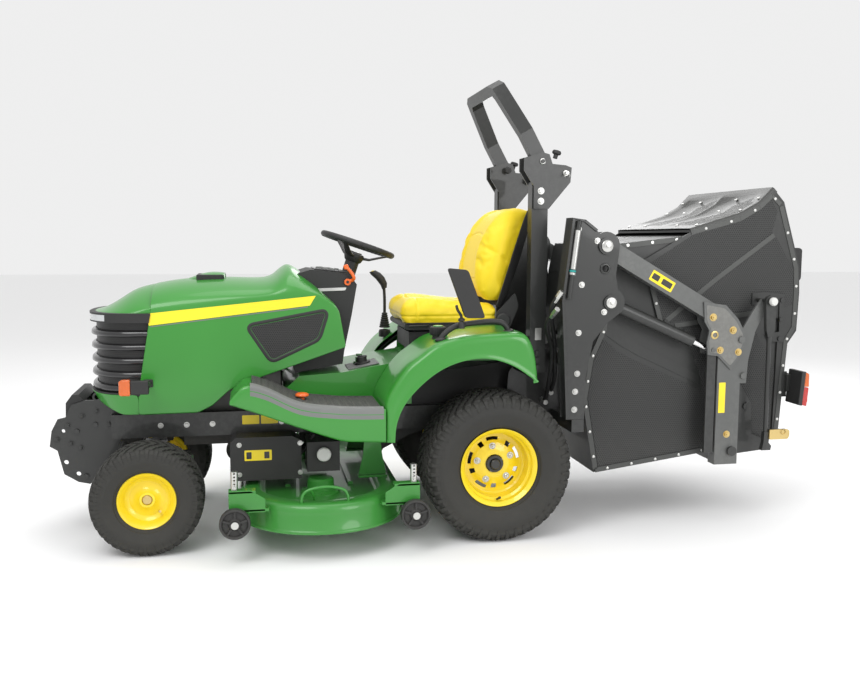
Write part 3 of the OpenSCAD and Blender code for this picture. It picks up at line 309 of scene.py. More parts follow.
def startGroup(name, inputs, outputs):
    tree = bpy.data.node_groups.new(name, "ShaderNodeTree")
    for label, value in inputs:
        kind = "NodeSocketColor" if isinstance(value, tuple) else "NodeSocketFloat"
        socket = tree.interface.new_socket(label, in_out="INPUT", socket_type=kind)
        socket.default_value = value
    for label, kind in outputs:
        tree.interface.new_socket(label, in_out="OUTPUT", socket_type=kind)
    return tree, tree.nodes.new("NodeGroupInput"), tree.nodes.new("NodeGroupOutput")


def addNode(tree, kind, values=(), **settings):
    made = tree.nodes.new(kind)
    for key, value in settings.items():
        setattr(made, key, value)
    for key, value in dict(values).items():
        if hasattr(value, "is_output"):
            tree.links.new(value, made.inputs[key])
        else:
            made.inputs[key].default_value = value
    return made


def maths(tree, operation, a, b=0.0, c=0.0, clamp=False):
    return addNode(tree, "ShaderNodeMath", {0: a, 1: b, 2: c}, operation=operation, use_clamp=clamp).outputs[0]


def noise(tree, place, scale, detail=3.0, rough=0.5):
    return addNode(tree, "ShaderNodeTexNoise", {"Vector": place, "Scale": scale, "Detail": detail,
                                                "Roughness": rough}).outputs["Fac"]


def makeWearGroup():
    # bare or pale paint along convex edges, broken up by noise
    tree, given, out = startGroup("edgeWear", [("Amount", 0.4), ("Breakup", 30.0)],
                                  [("Mask", "NodeSocketFloat")])
    shape = addNode(tree, "ShaderNodeNewGeometry")
    ramp = addNode(tree, "ShaderNodeMapRange", {"Value": shape.outputs["Pointiness"], "From Min": 0.53,
                                                "From Max": 0.66})
    spots = noise(tree, shape.outputs["Position"], given.outputs["Breakup"], 5.0, 0.65)
    spots = addNode(tree, "ShaderNodeMapRange", {"Value": spots, "From Min": 0.42, "From Max": 0.62}).outputs[0]
    mask = maths(tree, "MULTIPLY", ramp.outputs[0], spots)
    mask = maths(tree, "MULTIPLY", mask, given.outputs["Amount"], clamp=True)
    tree.links.new(mask, out.inputs["Mask"])
    return tree


def makeDustGroup():
    # pale film that lies on upward faces and near the ground
    tree, given, out = startGroup("dustFilm", [("Amount", 0.3), ("Height", 0.6)], [("Mask", "NodeSocketFloat")])
    shape = addNode(tree, "ShaderNodeNewGeometry")
    up = addNode(tree, "ShaderNodeSeparateXYZ", {0: shape.outputs["Normal"]}).outputs["Z"]
    up = addNode(tree, "ShaderNodeMapRange", {"Value": up, "From Min": 0.2, "From Max": 1.0, "To Max": 0.5})
    high = addNode(tree, "ShaderNodeSeparateXYZ", {0: shape.outputs["Position"]}).outputs["Z"]
    low = addNode(tree, "ShaderNodeMapRange", {"Value": high, "From Min": given.outputs["Height"],
                                               "From Max": 0.0, "To Max": 0.8})
    both = maths(tree, "ADD", up.outputs[0], low.outputs[0])
    spots = noise(tree, shape.outputs["Position"], 14.0, 6.0, 0.7)
    mask = maths(tree, "MULTIPLY", maths(tree, "MULTIPLY", both, spots), given.outputs["Amount"], clamp=True)
    tree.links.new(mask, out.inputs["Mask"])
    return tree


def makeGrainGroup():
    # fine moulded or sprayed texture: a height, and a slow value that varies the colour
    tree, given, out = startGroup("surfaceGrain", [("Scale", 600.0), ("Blotch", 3.0)],
                                  [("Height", "NodeSocketFloat"), ("Tone", "NodeSocketFloat")])
    place = addNode(tree, "ShaderNodeTexCoord").outputs["Object"]
    tree.links.new(noise(tree, place, given.outputs["Scale"], 2.0, 0.5), out.inputs["Height"])
    tone = noise(tree, place, given.outputs["Blotch"], 4.0, 0.55)
    tone = addNode(tree, "ShaderNodeMapRange", {"Value": tone, "From Min": 0.3, "From Max": 0.7}).outputs[0]
    tree.links.new(tone, out.inputs["Tone"])
    return tree


rowRatio = 0.866    # height of a row of staggered holes over the pitch


def makeHoleGroup():
    # staggered round holes on the Y-Z plane: 1 in a hole, 0 on the sheet
    tree, given, out = startGroup("punchedHoles", [("Pitch", 0.012), ("Open", 0.33)],
                                  [("Mask", "NodeSocketFloat"), ("Height", "NodeSocketFloat")])
    place = addNode(tree, "ShaderNodeTexCoord").outputs["Object"]
    xyz = addNode(tree, "ShaderNodeSeparateXYZ", {0: place})
    u = maths(tree, "DIVIDE", xyz.outputs["Y"], given.outputs["Pitch"])
    v = maths(tree, "DIVIDE", xyz.outputs["Z"], maths(tree, "MULTIPLY", given.outputs["Pitch"], rowRatio))
    row = maths(tree, "FLOOR", v)
    odd = maths(tree, "MULTIPLY", maths(tree, "PINGPONG", row, 1.0), 0.5)
    du = maths(tree, "SUBTRACT", maths(tree, "FRACT", maths(tree, "ADD", u, odd)), 0.5)
    dv = maths(tree, "MULTIPLY", maths(tree, "SUBTRACT", maths(tree, "FRACT", v), 0.5), rowRatio)
    far = maths(tree, "SQRT", maths(tree, "ADD", maths(tree, "MULTIPLY", du, du),
                                    maths(tree, "MULTIPLY", dv, dv)))
    edge = maths(tree, "SUBTRACT", given.outputs["Open"], far)
    mask = addNode(tree, "ShaderNodeMapRange", {"Value": edge, "From Min": 0.0, "From Max": 0.08}).outputs[0]
    tree.links.new(mask, out.inputs["Mask"])
    tree.links.new(maths(tree, "SUBTRACT", 1.0, mask), out.inputs["Height"])
    return tree


def makeLeatherGroup():
    # pebbled vinyl: cell walls as creases
    tree, given, out = startGroup("vinylPebble", [("Scale", 260.0)], [("Height", "NodeSocketFloat")])
    place = addNode(tree, "ShaderNodeTexCoord").outputs["Object"]
    cells = addNode(tree, "ShaderNodeTexVoronoi", {"Vector": place, "Scale": given.outputs["Scale"]},
                    feature="DISTANCE_TO_EDGE").outputs["Distance"]
    crease = addNode(tree, "ShaderNodeMapRange", {"Value": cells, "From Min": 0.0, "From Max": 0.18}).outputs[0]
    tree.links.new(maths(tree, "ADD", crease, maths(tree, "MULTIPLY", noise(tree, place, 900.0), 0.3)),
                   out.inputs["Height"])
    return tree


groups = {"wear": makeWearGroup(), "dust": makeDustGroup(), "grain": makeGrainGroup(), "holes": makeHoleGroup(),
          "vinyl": makeLeatherGroup()}


def placeGroup(tree, key, values):
    made = tree.nodes.new("ShaderNodeGroup")
    made.node_tree = groups[key]
    for label, value in values.items():
        made.inputs[label].default_value = value
    return made


def mixColor(tree, mask, a, b):
    return addNode(tree, "ShaderNodeMix", {0: mask, 6: a, 7: b}, data_type="RGBA").outputs[2]


# finishes: one line of looks for each

finishes = {}


def makeFinish(name, color, rough=0.4, metal=0.0, coat=0.0, coatRough=0.05, tone=0.12, blotch=3.0, grain=500.0,
               bump=0.05, wear=0.0, wearColor=(0.45, 0.45, 0.43), dust=0.15, dustHeight=0.5,
               dustColor=(0.45, 0.43, 0.38), roughVary=0.1, specular=0.5, texture=None, pitch=0.012,
               openness=0.33, holeShadeColor=(0.004, 0.004, 0.004), sheen=0.0):
    material = bpy.data.materials.new(name)
    material.use_nodes = True
    tree = material.node_tree
    shader = tree.nodes["Principled BSDF"]
    shader.inputs["Metallic"].default_value = metal
    shader.inputs["Coat Weight"].default_value = coat
    shader.inputs["Coat Roughness"].default_value = coatRough
    shader.inputs["Specular IOR Level"].default_value = specular
    shader.inputs["Sheen Weight"].default_value = sheen
    fine = placeGroup(tree, "grain", {"Scale": grain, "Blotch": blotch})
    dark = tuple(c * (1 - tone) for c in color)
    light = tuple(min(1.0, c * (1 + tone)) for c in color)
    tint = mixColor(tree, fine.outputs["Tone"], (*dark, 1), (*light, 1))
    height = fine.outputs["Height"]
    if texture == "holes":
        holes = placeGroup(tree, "holes", {"Pitch": pitch, "Open": openness})
        # the holes are filled with near-black: painted shade standing for the dark inside seen through them;
        # the hole pattern itself is real
        tint = mixColor(tree, holes.outputs["Mask"], tint, (*holeShadeColor, 1))
        height = holes.outputs["Height"]
    if texture == "vinyl":
        height = placeGroup(tree, "vinyl", {"Scale": grain}).outputs["Height"]
    film = placeGroup(tree, "dust", {"Amount": dust, "Height": dustHeight})
    tint = mixColor(tree, film.outputs["Mask"], tint, (*dustColor, 1))
    if wear:
        rub = placeGroup(tree, "wear", {"Amount": wear, "Breakup": 45.0})
        tint = mixColor(tree, rub.outputs["Mask"], tint, (*wearColor, 1))
    tree.links.new(tint, shader.inputs["Base Color"])
    level = addNode(tree, "ShaderNodeMapRange", {"Value": fine.outputs["Tone"], "To Min": rough,
                                                 "To Max": min(1.0, rough + roughVary)}).outputs[0]
    level = maths(tree, "ADD", level, maths(tree, "MULTIPLY", film.outputs["Mask"], 0.35), clamp=True)
    tree.links.new(level, shader.inputs["Roughness"])
    relief = addNode(tree, "ShaderNodeBump", {"Strength": bump, "Distance": 0.001, "Height": height})
    tree.links.new(relief.outputs[0], shader.inputs["Normal"])
    finishes[name] = material


makeFinish("greenPaint", (0.030, 0.235, 0.024), 0.3, coat=0.4, tone=0.03, grain=260, bump=0.02, dust=0.02)
makeFinish("deckGreen", (0.028, 0.22, 0.024), 0.34, coat=0.35, tone=0.05, grain=240, bump=0.03, dust=0.05,
           wear=0.08, wearColor=(0.12, 0.33, 0.10))
makeFinish("stripeYellow", (0.93, 0.72, 0.012), 0.3, coat=0.6, tone=0.03, dust=0.02)
makeFinish("labelYellow", (0.86, 0.66, 0.015), 0.45, coat=0.2, tone=0.04, dust=0.05)
makeFinish("rimYellow", (0.88, 0.66, 0.010), 0.34, coat=0.6, tone=0.04, grain=220, bump=0.05, dust=0.06,
           wear=0.15, wearColor=(0.6, 0.5, 0.2))
makeFinish("blackPaint", (0.018, 0.019, 0.018), 0.38, coat=0.25, tone=0.08, grain=320, bump=0.05, wear=0.12,
           wearColor=(0.12, 0.12, 0.115), dust=0.04)
makeFinish("boxPaint", (0.020, 0.021, 0.020), 0.44, coat=0.12, tone=0.08, grain=380, bump=0.08, wear=0.1,
           wearColor=(0.11, 0.11, 0.105), dust=0.05, dustHeight=0.7)
makeFinish("lidPaint", (0.040, 0.041, 0.039), 0.55, coat=0.2, tone=0.08, grain=300, bump=0.08, dust=0.08,
           dustHeight=0.2)
makeFinish("stripPaint", (0.060, 0.062, 0.059), 0.35, metal=0.2, tone=0.06, grain=300, bump=0.04, dust=0.03)
makeFinish("greyPaint", (0.105, 0.108, 0.105), 0.38, metal=0.25, tone=0.06, grain=420, bump=0.05, wear=0.1,
           wearColor=(0.4, 0.4, 0.38), dust=0.1)
makeFinish("platePaint", (0.17, 0.17, 0.16), 0.4, metal=0.35, tone=0.15, grain=420, bump=0.1, wear=0.2,
           dust=0.1)
makeFinish("blackPlastic", (0.017, 0.017, 0.017), 0.5, tone=0.15, grain=700, bump=0.35, dust=0.1)
makeFinish("glossBlack", (0.010, 0.010, 0.011), 0.22, coat=0.5, tone=0.1, grain=300, bump=0.02, dust=0.04)
makeFinish("matRubber", (0.045, 0.047, 0.044), 0.72, tone=0.15, grain=900, bump=0.5, dust=0.3)
makeFinish("tyreRubber", (0.022, 0.022, 0.020), 0.68, tone=0.2, grain=420, bump=0.4, dust=0.4, dustHeight=0.7,
           dustColor=(0.10, 0.095, 0.08))
makeFinish("seatVinyl", (0.87, 0.64, 0.008), 0.42, tone=0.05, grain=330, bump=0.22, dust=0.04, texture="vinyl",
           sheen=0.1)
makeFinish("engineIron", (0.06, 0.06, 0.06), 0.55, metal=0.5, tone=0.3, grain=300, bump=0.4, dust=0.4,
           dustHeight=1.0)
makeFinish("zincSteel", (0.62, 0.62, 0.60), 0.28, metal=1.0, tone=0.12, grain=420, bump=0.06, dust=0.08,
           roughVary=0.16)
makeFinish("goldZinc", (0.62, 0.47, 0.20), 0.32, metal=1.0, tone=0.18, grain=420, bump=0.06, dust=0.06,
           roughVary=0.16)
makeFinish("chromeRod", (0.78, 0.78, 0.78), 0.1, metal=1.0, tone=0.04, grain=420, bump=0.01, dust=0.02,
           roughVary=0.06)
makeFinish("hoseRubber", (0.014, 0.014, 0.014), 0.55, tone=0.15, grain=900, bump=0.3, dust=0.1)
makeFinish("orangePlastic", (0.78, 0.13, 0.012), 0.32, coat=0.3, tone=0.05, dust=0.03)
makeFinish("whiteCap", (0.62, 0.62, 0.60), 0.45, tone=0.05, dust=0.1)
makeFinish("greyPanel", (0.16, 0.165, 0.16), 0.5, tone=0.06, grain=500, bump=0.2, dust=0.08)
makeFinish("tealBand", (0.02, 0.30, 0.28), 0.4, tone=0.05, dust=0.05)
makeFinish("boxMesh", (0.030, 0.031, 0.030), 0.5, tone=0.12, grain=320, bump=0.8, dust=0.12, texture="holes",
           pitch=0.0105, openness=0.33)
makeFinish("hoodMesh", (0.028, 0.028, 0.028), 0.4, tone=0.1, bump=0.9, dust=0.05, texture="holes", pitch=0.009,
           openness=0.36)


def makeLens(name, color, rough=0.08, ribs=90.0):
    # moulded lens: coloured, slightly clear, with a ribbed inner face
    material = bpy.data.materials.new(name)
    material.use_nodes = True
    tree = material.node_tree
    shader = tree.nodes["Principled BSDF"]
    shader.inputs["Transmission Weight"].default_value = 0.25
    shader.inputs["Coat Weight"].default_value = 0.8
    fine = placeGroup(tree, "grain", {"Scale": 300.0, "Blotch": 8.0})
    dark = tuple(c * 0.8 for c in color)
    tree.links.new(mixColor(tree, fine.outputs["Tone"], (*dark, 1), (*color, 1)), shader.inputs["Base Color"])
    level = addNode(tree, "ShaderNodeMapRange", {"Value": fine.outputs["Tone"], "To Min": rough,
                                                 "To Max": rough + 0.08}).outputs[0]
    tree.links.new(level, shader.inputs["Roughness"])
    place = addNode(tree, "ShaderNodeTexCoord").outputs["Object"]
    wave = addNode(tree, "ShaderNodeTexWave", {"Vector": place, "Scale": ribs},
                   bands_direction="Z").outputs["Fac"]
    relief = addNode(tree, "ShaderNodeBump", {"Strength": 0.3, "Distance": 0.001, "Height": wave})
    tree.links.new(relief.outputs[0], shader.inputs["Normal"])
    finishes[name] = material


makeLens("orangeLens", (0.85, 0.16, 0.012))
makeLens("redLens", (0.62, 0.02, 0.012))
makeLens("clearLens", (0.75, 0.77, 0.78), 0.05, 60.0)
# mirror face: its pale grey base colour is a painted reflection of the bright studio; the coat adds some real
# reflection
makeLens("mirrorPaintedReflection", (0.55, 0.57, 0.58), 0.03, 1.0)
print("finishes made:", len(finishes))


# the CAD solids that stay: finish and softened edges

keptSolids = {
    "frame_rails": ("blackPaint", 3), "hitch_plates": ("blackPaint", 2), "bumper_cap": ("blackPlastic", 8),
    "engine": ("engineIron", 8), "side_housings": ("blackPlastic", 6), "rear_axle": ("blackPaint", 3),
    "footboards": ("greenPaint", 5), "foot_mats": ("matRubber", 2), "floor_cover": ("greenPaint", 5),
    "rear_fenders": ("greenPaint", 6), "fender_liners": ("blackPlastic", 2),
    "dash_console": ("blackPlastic", 10), "rops_posts": ("blackPaint", 3), "rear_frame": ("blackPaint", 2),
    "lift_towers": ("blackPaint", 2), "hydraulic_hoses": ("hoseRubber", 0), "grass_chute": ("blackPlastic", 2),
    "front_axle": ("blackPaint", 3), "knuckle_left": ("blackPaint", 2), "knuckle_right": ("blackPaint", 2),
    "tie_rod": ("zincSteel", 1), "front_rim_left": ("rimYellow", 1.5), "front_rim_right": ("rimYellow", 1.5),
    "rear_rim_left": ("rimYellow", 1.5), "rear_rim_right": ("rimYellow", 1.5),
    "front_tyre_left": ("tyreRubber", 0), "front_tyre_right": ("tyreRubber", 0),
    "rear_tyre_left": ("tyreRubber", 0), "rear_tyre_right": ("tyreRubber", 0),
    "steering_wheel": ("blackPlastic", 2), "hood": ("greenPaint", 4), "hood_trim": ("blackPlastic", 3),
    "front_lamps": ("orangeLens", 2), "seat_base": ("blackPlastic", 3), "seat_cushion": ("seatVinyl", 12),
    "seat_back_shell": ("blackPlastic", 8), "seat_back_pad": ("seatVinyl", 12), "rops_hoop": ("blackPaint", 4),
    "mirror": ("blackPlastic", 3), "dash_lever": ("orangePlastic", 2), "foot_button": ("orangePlastic", 3),
    "drive_pedals": ("blackPlastic", 3), "lift_lever": ("blackPlastic", 2), "filler_cap": ("blackPlastic", 4),
    "deck_shell": ("deckGreen", 4), "gauge_posts": ("zincSteel", 1), "gauge_wheels_front": ("blackPlastic", 3),
    "gauge_wheels_rear": ("blackPlastic", 3), "blade_left": ("zincSteel", 1), "blade_right": ("zincSteel", 1),
    "lift_arms": ("greyPaint", 3), "ram_barrels": ("blackPaint", 2), "ram_rods": ("chromeRod", 1),
    "safety_props": ("blackPaint", 2), "tilt_brackets": ("blackPaint", 2), "hopper_box": ("boxPaint", 3),
    "hopper_mesh": ("boxMesh", 0), "tailgate": ("boxPaint", 3), "latch_bars": ("blackPaint", 2),
    "tail_lamps": ("redLens", 2),
}

for nodeName, (finish, edge) in keptSolids.items():
    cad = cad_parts[nodeName]
    cad.data.materials.clear()
    cad.data.materials.append(finishes[finish])
    if edge:
        softEdges(cad, edge, 2, 40)
print("kept solids finished")

# hood

hoodLook = {
    "halfWidth": 300, "noseLength": 262, "noseFullness": 2.4, "tumble": 7,
    "bottom": [(-1737, 628), (-1690, 600), (-1600, 556), (-1263, 559), (-1204, 588), (-1135, 655), (-1007, 709),
               (-634, 841)],
    "shoulder": [(-1737, 985), (-1600, 990), (-1485, 1000), (-1100, 1040), (-800, 1064), (-700, 1046),
                 (-629, 972)],
    "crown": [(-1737, 992), (-1690, 1010), (-1640, 1042), (-1527, 1086), (-1352, 1121), (-1167, 1130),
              (-974, 1130), (-905, 1172), (-876, 1188), (-836, 1172), (-760, 1106), (-629, 974)],
    "rearEdge": [(841, -634), (987, -660), (1040, -690), (1190, -690)],
    "grilleEdge": [(640, -1516), (990, -1458), (1030, -1452)], "wall": 4,
}


def along(table, u):
    # straight-line reading of a table of (place, value)
    if u <= table[0][0]:
        return table[0][1]
    for (a, va), (b, vb) in zip(table, table[1:]):
        if u <= b:
            return lerp(va, vb, (u - a) / (b - a))
    return table[-1][1]


def softTable(table):
    return [(p[0], p[1]) for p in smoothPath(table, 8)]


noseRound = 2 / hoodLook["noseFullness"]
hoodCrown = softTable(hoodLook["crown"])
hoodShoulder = softTable(hoodLook["shoulder"])


def noseX(y, inset=0.0):
    # half width of the hood in plan at y
    reach = fy(0) - y
    half = hoodLook["halfWidth"] - inset
    if reach <= 0:
        return half
    part = min(1.0, reach / (hoodLook["noseLength"] - inset))
    return half * max(0.0, 1 - part ** hoodLook["noseFullness"]) ** (1 / hoodLook["noseFullness"])


def hoodX(y, z, proud=0.0):
    # half width of the hood's side at (y, z): it leans in a little towards the top
    bottom = along(hoodLook["bottom"], y)
    t = (z - bottom) / max(1.0, along(hoodShoulder, y) - bottom)
    return noseX(y) - hoodLook["tumble"] * max(0.0, min(1.0, t)) ** 2 + proud


def makeHood(look):
    bm = bmesh.new()
    columns, rows, crownRows = 64, 14, 12
    rings = []
    for i in range(columns + 1):
        s = i / columns
        y0 = lerp(-1500, -662, s)
        low = along(look["bottom"], y0)
        high = along(hoodShoulder, y0)
        ring = []
        for j in range(rows + 1):
            z = lerp(low, high, j / rows)
            y = y0 + lerp(along(look["grilleEdge"], z) + 1500, along(look["rearEdge"], z) + 662,
                          s ** 1.5 if s > 0.5 else s * 0.7071)
            if s < 1e-6:
                y = along(look["grilleEdge"], z)
            ring.append(at(hoodX(y, z), y, z))
        edge = ring[-1]
        edgeY = (edge.y - rearY) * 1000
        for j in range(1, crownRows + 1):
            turn = j / crownRows * math.pi / 2
            k = math.cos(turn)
            top = along(hoodCrown, edgeY)
            z = high + (top - high) * math.sin(turn) ** 0.9
            ring.append(Vector((edge.x * (0.35 * k + 0.65 * (1 - (j / crownRows) ** 1.6)), edge.y, z / 1000)))
        rings.append(ring)
    rings = [r + [Vector((-p.x, p.y, p.z)) for p in r[-2::-1]] for r in rings]
    sectionLoft(bm, rings, closedRing=False)
    # the bonnet's front, over the lamp housing, flows round the nose
    front = []
    for i in range(25):
        turn = math.pi * i / 24
        c, s = math.cos(turn), math.sin(turn)
        x = look["halfWidth"] * math.copysign(abs(c) ** noseRound, c) - math.copysign(look["tumble"],
                                                                                      c) * abs(c)
        y = fy(0) + 22 - (look["noseLength"] + 12) * abs(s) ** noseRound
        back = -1452
        row = []
        for j in range(9):
            t = j / 8
            yy = lerp(y, back, t) if y < back else back
            rise = math.sin(t * math.pi / 2)
            top = along(hoodCrown, yy)
            edge = along(hoodShoulder, yy)
            across = abs(x) / look["halfWidth"]
            full = edge + (top - edge) * (1 - across ** 2.2)
            zz = lerp(988, full, min(1.0, rise * 1.15))
            row.append(at(x, yy, zz))
        front.append(row)
    sectionLoft(bm, front, closedRing=False)
    # the chin under the grille
    chin = []
    for i in range(33):
        turn = math.pi * i / 32
        c, s = math.cos(turn), math.sin(turn)
        x = look["halfWidth"] * math.copysign(abs(c) ** noseRound, c)
        y = fy(0) - 41 - (look["noseLength"] - 41) * abs(s) ** noseRound
        low = along(look["bottom"], y)
        chin.append([at(x * lerp(0.97, 1, j / 4), lerp(y + 14, y, j / 4),
                        lerp(low, 645, j / 4)) for j in range(5)])
    sectionLoft(bm, chin, closedRing=False)
    bmesh.ops.remove_doubles(bm, verts=bm.verts[:], dist=0.0004)
    finishPiece(bm, "hoodPanel", "hood", "greenPaint", solid=look["wall"], angle=50, replaces=("hood",), sub=1)


makeHood(hoodLook)

stripeLook = {
    "upper": [(-1476, 988), (-763, 1058)], "lower": [(-1463, 938), (-789, 1016)], "proud": 0.9,
    "pinLow": [(-1458, 931), (-800, 1007)], "pinHigh": [(-1459, 935), (-797, 1012)],
}


def sidePatch(bm, high, low, proud, steps=24, rows=3, thick=1.2):
    outer = []
    for i in range(steps + 1):
        t = i / steps
        top = (lerp(high[0][0], high[1][0], t), lerp(high[0][1], high[1][1], t))
        base = (lerp(low[0][0], low[1][0], t), lerp(low[0][1], low[1][1], t))
        pts = [(lerp(base[0], top[0], j / rows), lerp(base[1], top[1], j / rows)) for j in range(rows + 1)]
        ring = [at(hoodX(y, z, proud), y, z) for y, z in pts]
        ring += [at(hoodX(y, z, proud - thick), y, z) for y, z in reversed(pts)]
        outer.append(ring)
    sectionLoft(bm, outer, capEnds=True)


def makeStripes(look):
    bm = bmesh.new()
    sidePatch(bm, look["upper"], look["lower"], look["proud"])
    finishPiece(bm, "hoodStripe", "hood", "stripeYellow", both=True)
    bm = bmesh.new()
    sidePatch(bm, look["pinHigh"], look["pinLow"], look["proud"], rows=1)
    finishPiece(bm, "hoodPinstripe", "hood", "greyPanel", both=True)


makeStripes(stripeLook)

windowLook = {"corners": [(-1050, 927), (-955, 782), (-756, 874), (-720, 987)], "rim": 16, "round": 22}


def roundedOutline(corners, radius, steps=6):
    # corner points joined by straight edges with round corners
    out = []
    n = len(corners)
    for i in range(n):
        a, b, c = (Vector(corners[(i + k) % n]) for k in (-1, 0, 1))
        u, v = (a - b).normalized(), (c - b).normalized()
        for s in range(steps + 1):
            t = s / steps
            p = b + u * radius * (1 - t) ** 2 + v * radius * t ** 2
            out.append((p.x, p.y))
    return out


def grown(outline, by):
    # outline moved outwards from its middle by a distance
    n = len(outline)
    area = sum(outline[i][0] * outline[(i + 1) % n][1] - outline[(i + 1) % n][0] * outline[i][1]
               for i in range(n))
    out = []
    for i in range(n):
        a, b, c = (Vector(outline[(i + k) % n]) for k in (-1, 0, 1))
        heading = (c - a).normalized()
        side = Vector((heading.y, -heading.x)) * (1 if area > 0 else -1)
        out.append(tuple(b + side * by))
    return out


def makeWindow(look):
    inner = roundedOutline(look["corners"], look["round"])
    bm = bmesh.new()
    rings = []
    for by, proud in ((look["rim"], -1.5), (look["rim"], 1.5), (look["rim"] - 4, 3.2), (5, 2.6), (0, -1.0),
                      (0, -6.0)):
        rings.append([at(hoodX(y, z, proud), y, z) for y, z in grown(inner, by)])
    sectionLoft(bm, rings)
    finishPiece(bm, "windowSurround", "hood", "blackPlastic", both=True, angle=30)
    bm = bmesh.new()
    face = bm.faces.new([bm.verts.new(at(hoodX(y, z, 0.6), y, z)) for y, z in inner])
    back = bm.faces.new([bm.verts.new(at(hoodX(y, z, -0.6), y, z)) for y, z in reversed(inner)])
    bmesh.ops.bridge_loops(bm, edges=list(face.edges) + list(back.edges))
    finishPiece(bm, "windowMesh", "hood", "hoodMesh", both=True)


makeWindow(windowLook)

grilleLook = {"slats": 5, "pitch": 58, "first": 668, "inset": 4, "backInset": 26}


def noseRing(inset, z, back, steps=32):
    # points round the nose in plan, from one side to the other, at a height
    half, reach = hoodLook["halfWidth"] - inset, hoodLook["noseLength"] - inset
    pts = [at(half, back, z)]
    for i in range(steps + 1):
        turn = math.pi * i / steps
        c, s = math.cos(turn), math.sin(turn)
        x = half * math.copysign(abs(c) ** noseRound, c)
        y = fy(0) - 30 - (reach - 30) * abs(s) ** noseRound
        pts.append(at(x, y, z))
    pts.append(at(-half, back, z))
    return pts


def makeGrille(look):
    bm = bmesh.new()
    base = [noseRing(look["backInset"], z, along(hoodLook["grilleEdge"], z) + 4) for z in (648, 760, 880, 985)]
    sectionLoft(bm, base, closedRing=False)
    finishPiece(bm, "grilleBack", "hood", "hoodMesh", solid=3, replaces=("hood_trim",))
    bm = bmesh.new()
    for i in range(look["slats"]):
        z = look["first"] + i * look["pitch"]
        edge = lambda h: along(hoodLook["grilleEdge"], h) + 2
        shape = [(22, z - 13), (look["inset"] + 3, z - 9), (look["inset"], z - 5), (look["inset"] + 2, z + 8),
                 (look["inset"] + 8, z + 14), (22, z + 17)]
        sectionLoft(bm, [noseRing(inset, h, edge(h)) for inset, h in shape], closedRing=False)
    finishPiece(bm, "grilleSlats", "hood", "glossBlack", solid=2.5, angle=60)
    bm = bmesh.new()
    for z0, z1, proud in ((640, 652, 2), (948, 990, 0)):
        shape = [(24, z0), (proud, z0 + 1), (proud, z1 - 1), (24, z1)]
        sectionLoft(bm, [noseRing(inset, h, along(hoodLook["grilleEdge"], h) + 2) for inset, h in shape],
                    closedRing=False)
    finishPiece(bm, "grilleFrame", "hood", "blackPlastic", solid=2.5, angle=50)
    bm = bmesh.new()    # a clear lamp strip on each side of the nose
    ring = noseRing(-0.6, 968, -1490)
    strip = [p for p in ring if abs(p.x) > 0.10 and abs(p.x) < 0.262]
    for side in (1, -1):
        pts = [p for p in strip if p.x * side > 0]
        rows = [[p + Vector((0, 0, dz)) for p in pts] for dz in (-0.013, -0.006, 0.006, 0.013)]
        sectionLoft(bm, rows, closedRing=False)
    finishPiece(bm, "headLampLens", "hood", "clearLens", solid=3, replaces=("front_lamps",))


makeGrille(grilleLook)

scoopLook = {"front": -1330, "tip": -1205, "rear": -1160, "half": 118}


def makeScoop(look):
    bm = bmesh.new()
    rings = []
    for y, rise, half in ((look["front"], -4, 70), (-1290, 8, 96), (-1250, 20, 108),
                          (look["tip"], 27, look["half"]), (look["rear"] + 12, 20, look["half"] - 6)):
        ring = []
        for i in range(15):
            t = -1 + 2 * i / 14
            top = along(hoodCrown, y) - 26 * (abs(t) * half / 300) ** 2 * 4
            ring.append(at(t * half, y, top + rise * (1 - abs(t) ** 5) - 3 * abs(t) ** 8 * 4))
        rings.append(ring)
    sectionLoft(bm, rings, closedRing=False)
    finishPiece(bm, "scoopPanel", "hood", "greenPaint", solid=5, angle=60, sub=1)
    bm = bmesh.new()
    addBlock(bm, (-look["half"] + 14, look["tip"] - 70, along(hoodCrown, look["tip"]) - 14),
             (look["half"] - 14, look["rear"] - 2, along(hoodCrown, look["tip"]) + 14))
    for i in range(7):
        x = -look["half"] + 30 + i * 29
        addBlock(bm, (x, look["rear"] - 4, along(hoodCrown, look["tip"]) - 10),
                 (x + 12, look["rear"] + 5, along(hoodCrown, look["tip"]) + 12))
    finishPiece(bm, "scoopInsert", "hood", "blackPlastic", bevel=2)


makeScoop(scoopLook)

indicatorLook = {"x0": 398, "x1": 428, "y0": -102, "y1": -57, "z0": 661, "z1": 728}


def makeIndicators(look):
    bm = bmesh.new()
    y0, y1 = fy(look["y0"]), fy(look["y1"])
    addPrism(bm, [(y0, look["z0"] + 6), (y0 + 8, look["z0"]), (y1, look["z0"]), (y1, look["z1"]),
                  (y0 + 10, look["z1"]), (y0, look["z1"] - 8)], look["x0"], look["x1"])
    finishPiece(bm, "indicatorLens", "hood", "orangeLens", both=True, bevel=5)
    bm = bmesh.new()
    addBlock(bm, (hoodLook["halfWidth"] - 4, fy(-6), 684), (look["x1"] - 4, fy(16), 702))
    addBlock(bm, (look["x0"] - 1, y1 + 0.5, 666), (look["x1"] - 1, fy(16), 722))
    addBlock(bm, (hoodLook["halfWidth"] - 6, fy(-16), 676), (hoodLook["halfWidth"] + 6, fy(22), 710))
    finishPiece(bm, "indicatorBracket", "hood", "blackPlastic", both=True, bevel=4)


makeIndicators(indicatorLook)
print("hood made")


# tyres and rims

tyreLook = {
    "front": {"segments": 36, "rows": 6, "lug": 7, "step": 0.62, "rim": "front_rim"},
    "rear": {"segments": 46, "rows": 8, "lug": 9, "step": 0.62, "rim": "rear_rim"},
}


def wheelFacts(tyreNode, rimNode):
    low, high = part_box(tyreNode)
    rimLow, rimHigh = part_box(rimNode)
    middle = (Vector(low) + Vector(high)) / 2
    return middle, (high[2] - low[2]) * 500, (high[0] - low[0]) * 1000, (rimHigh[2] - rimLow[2]) * 500


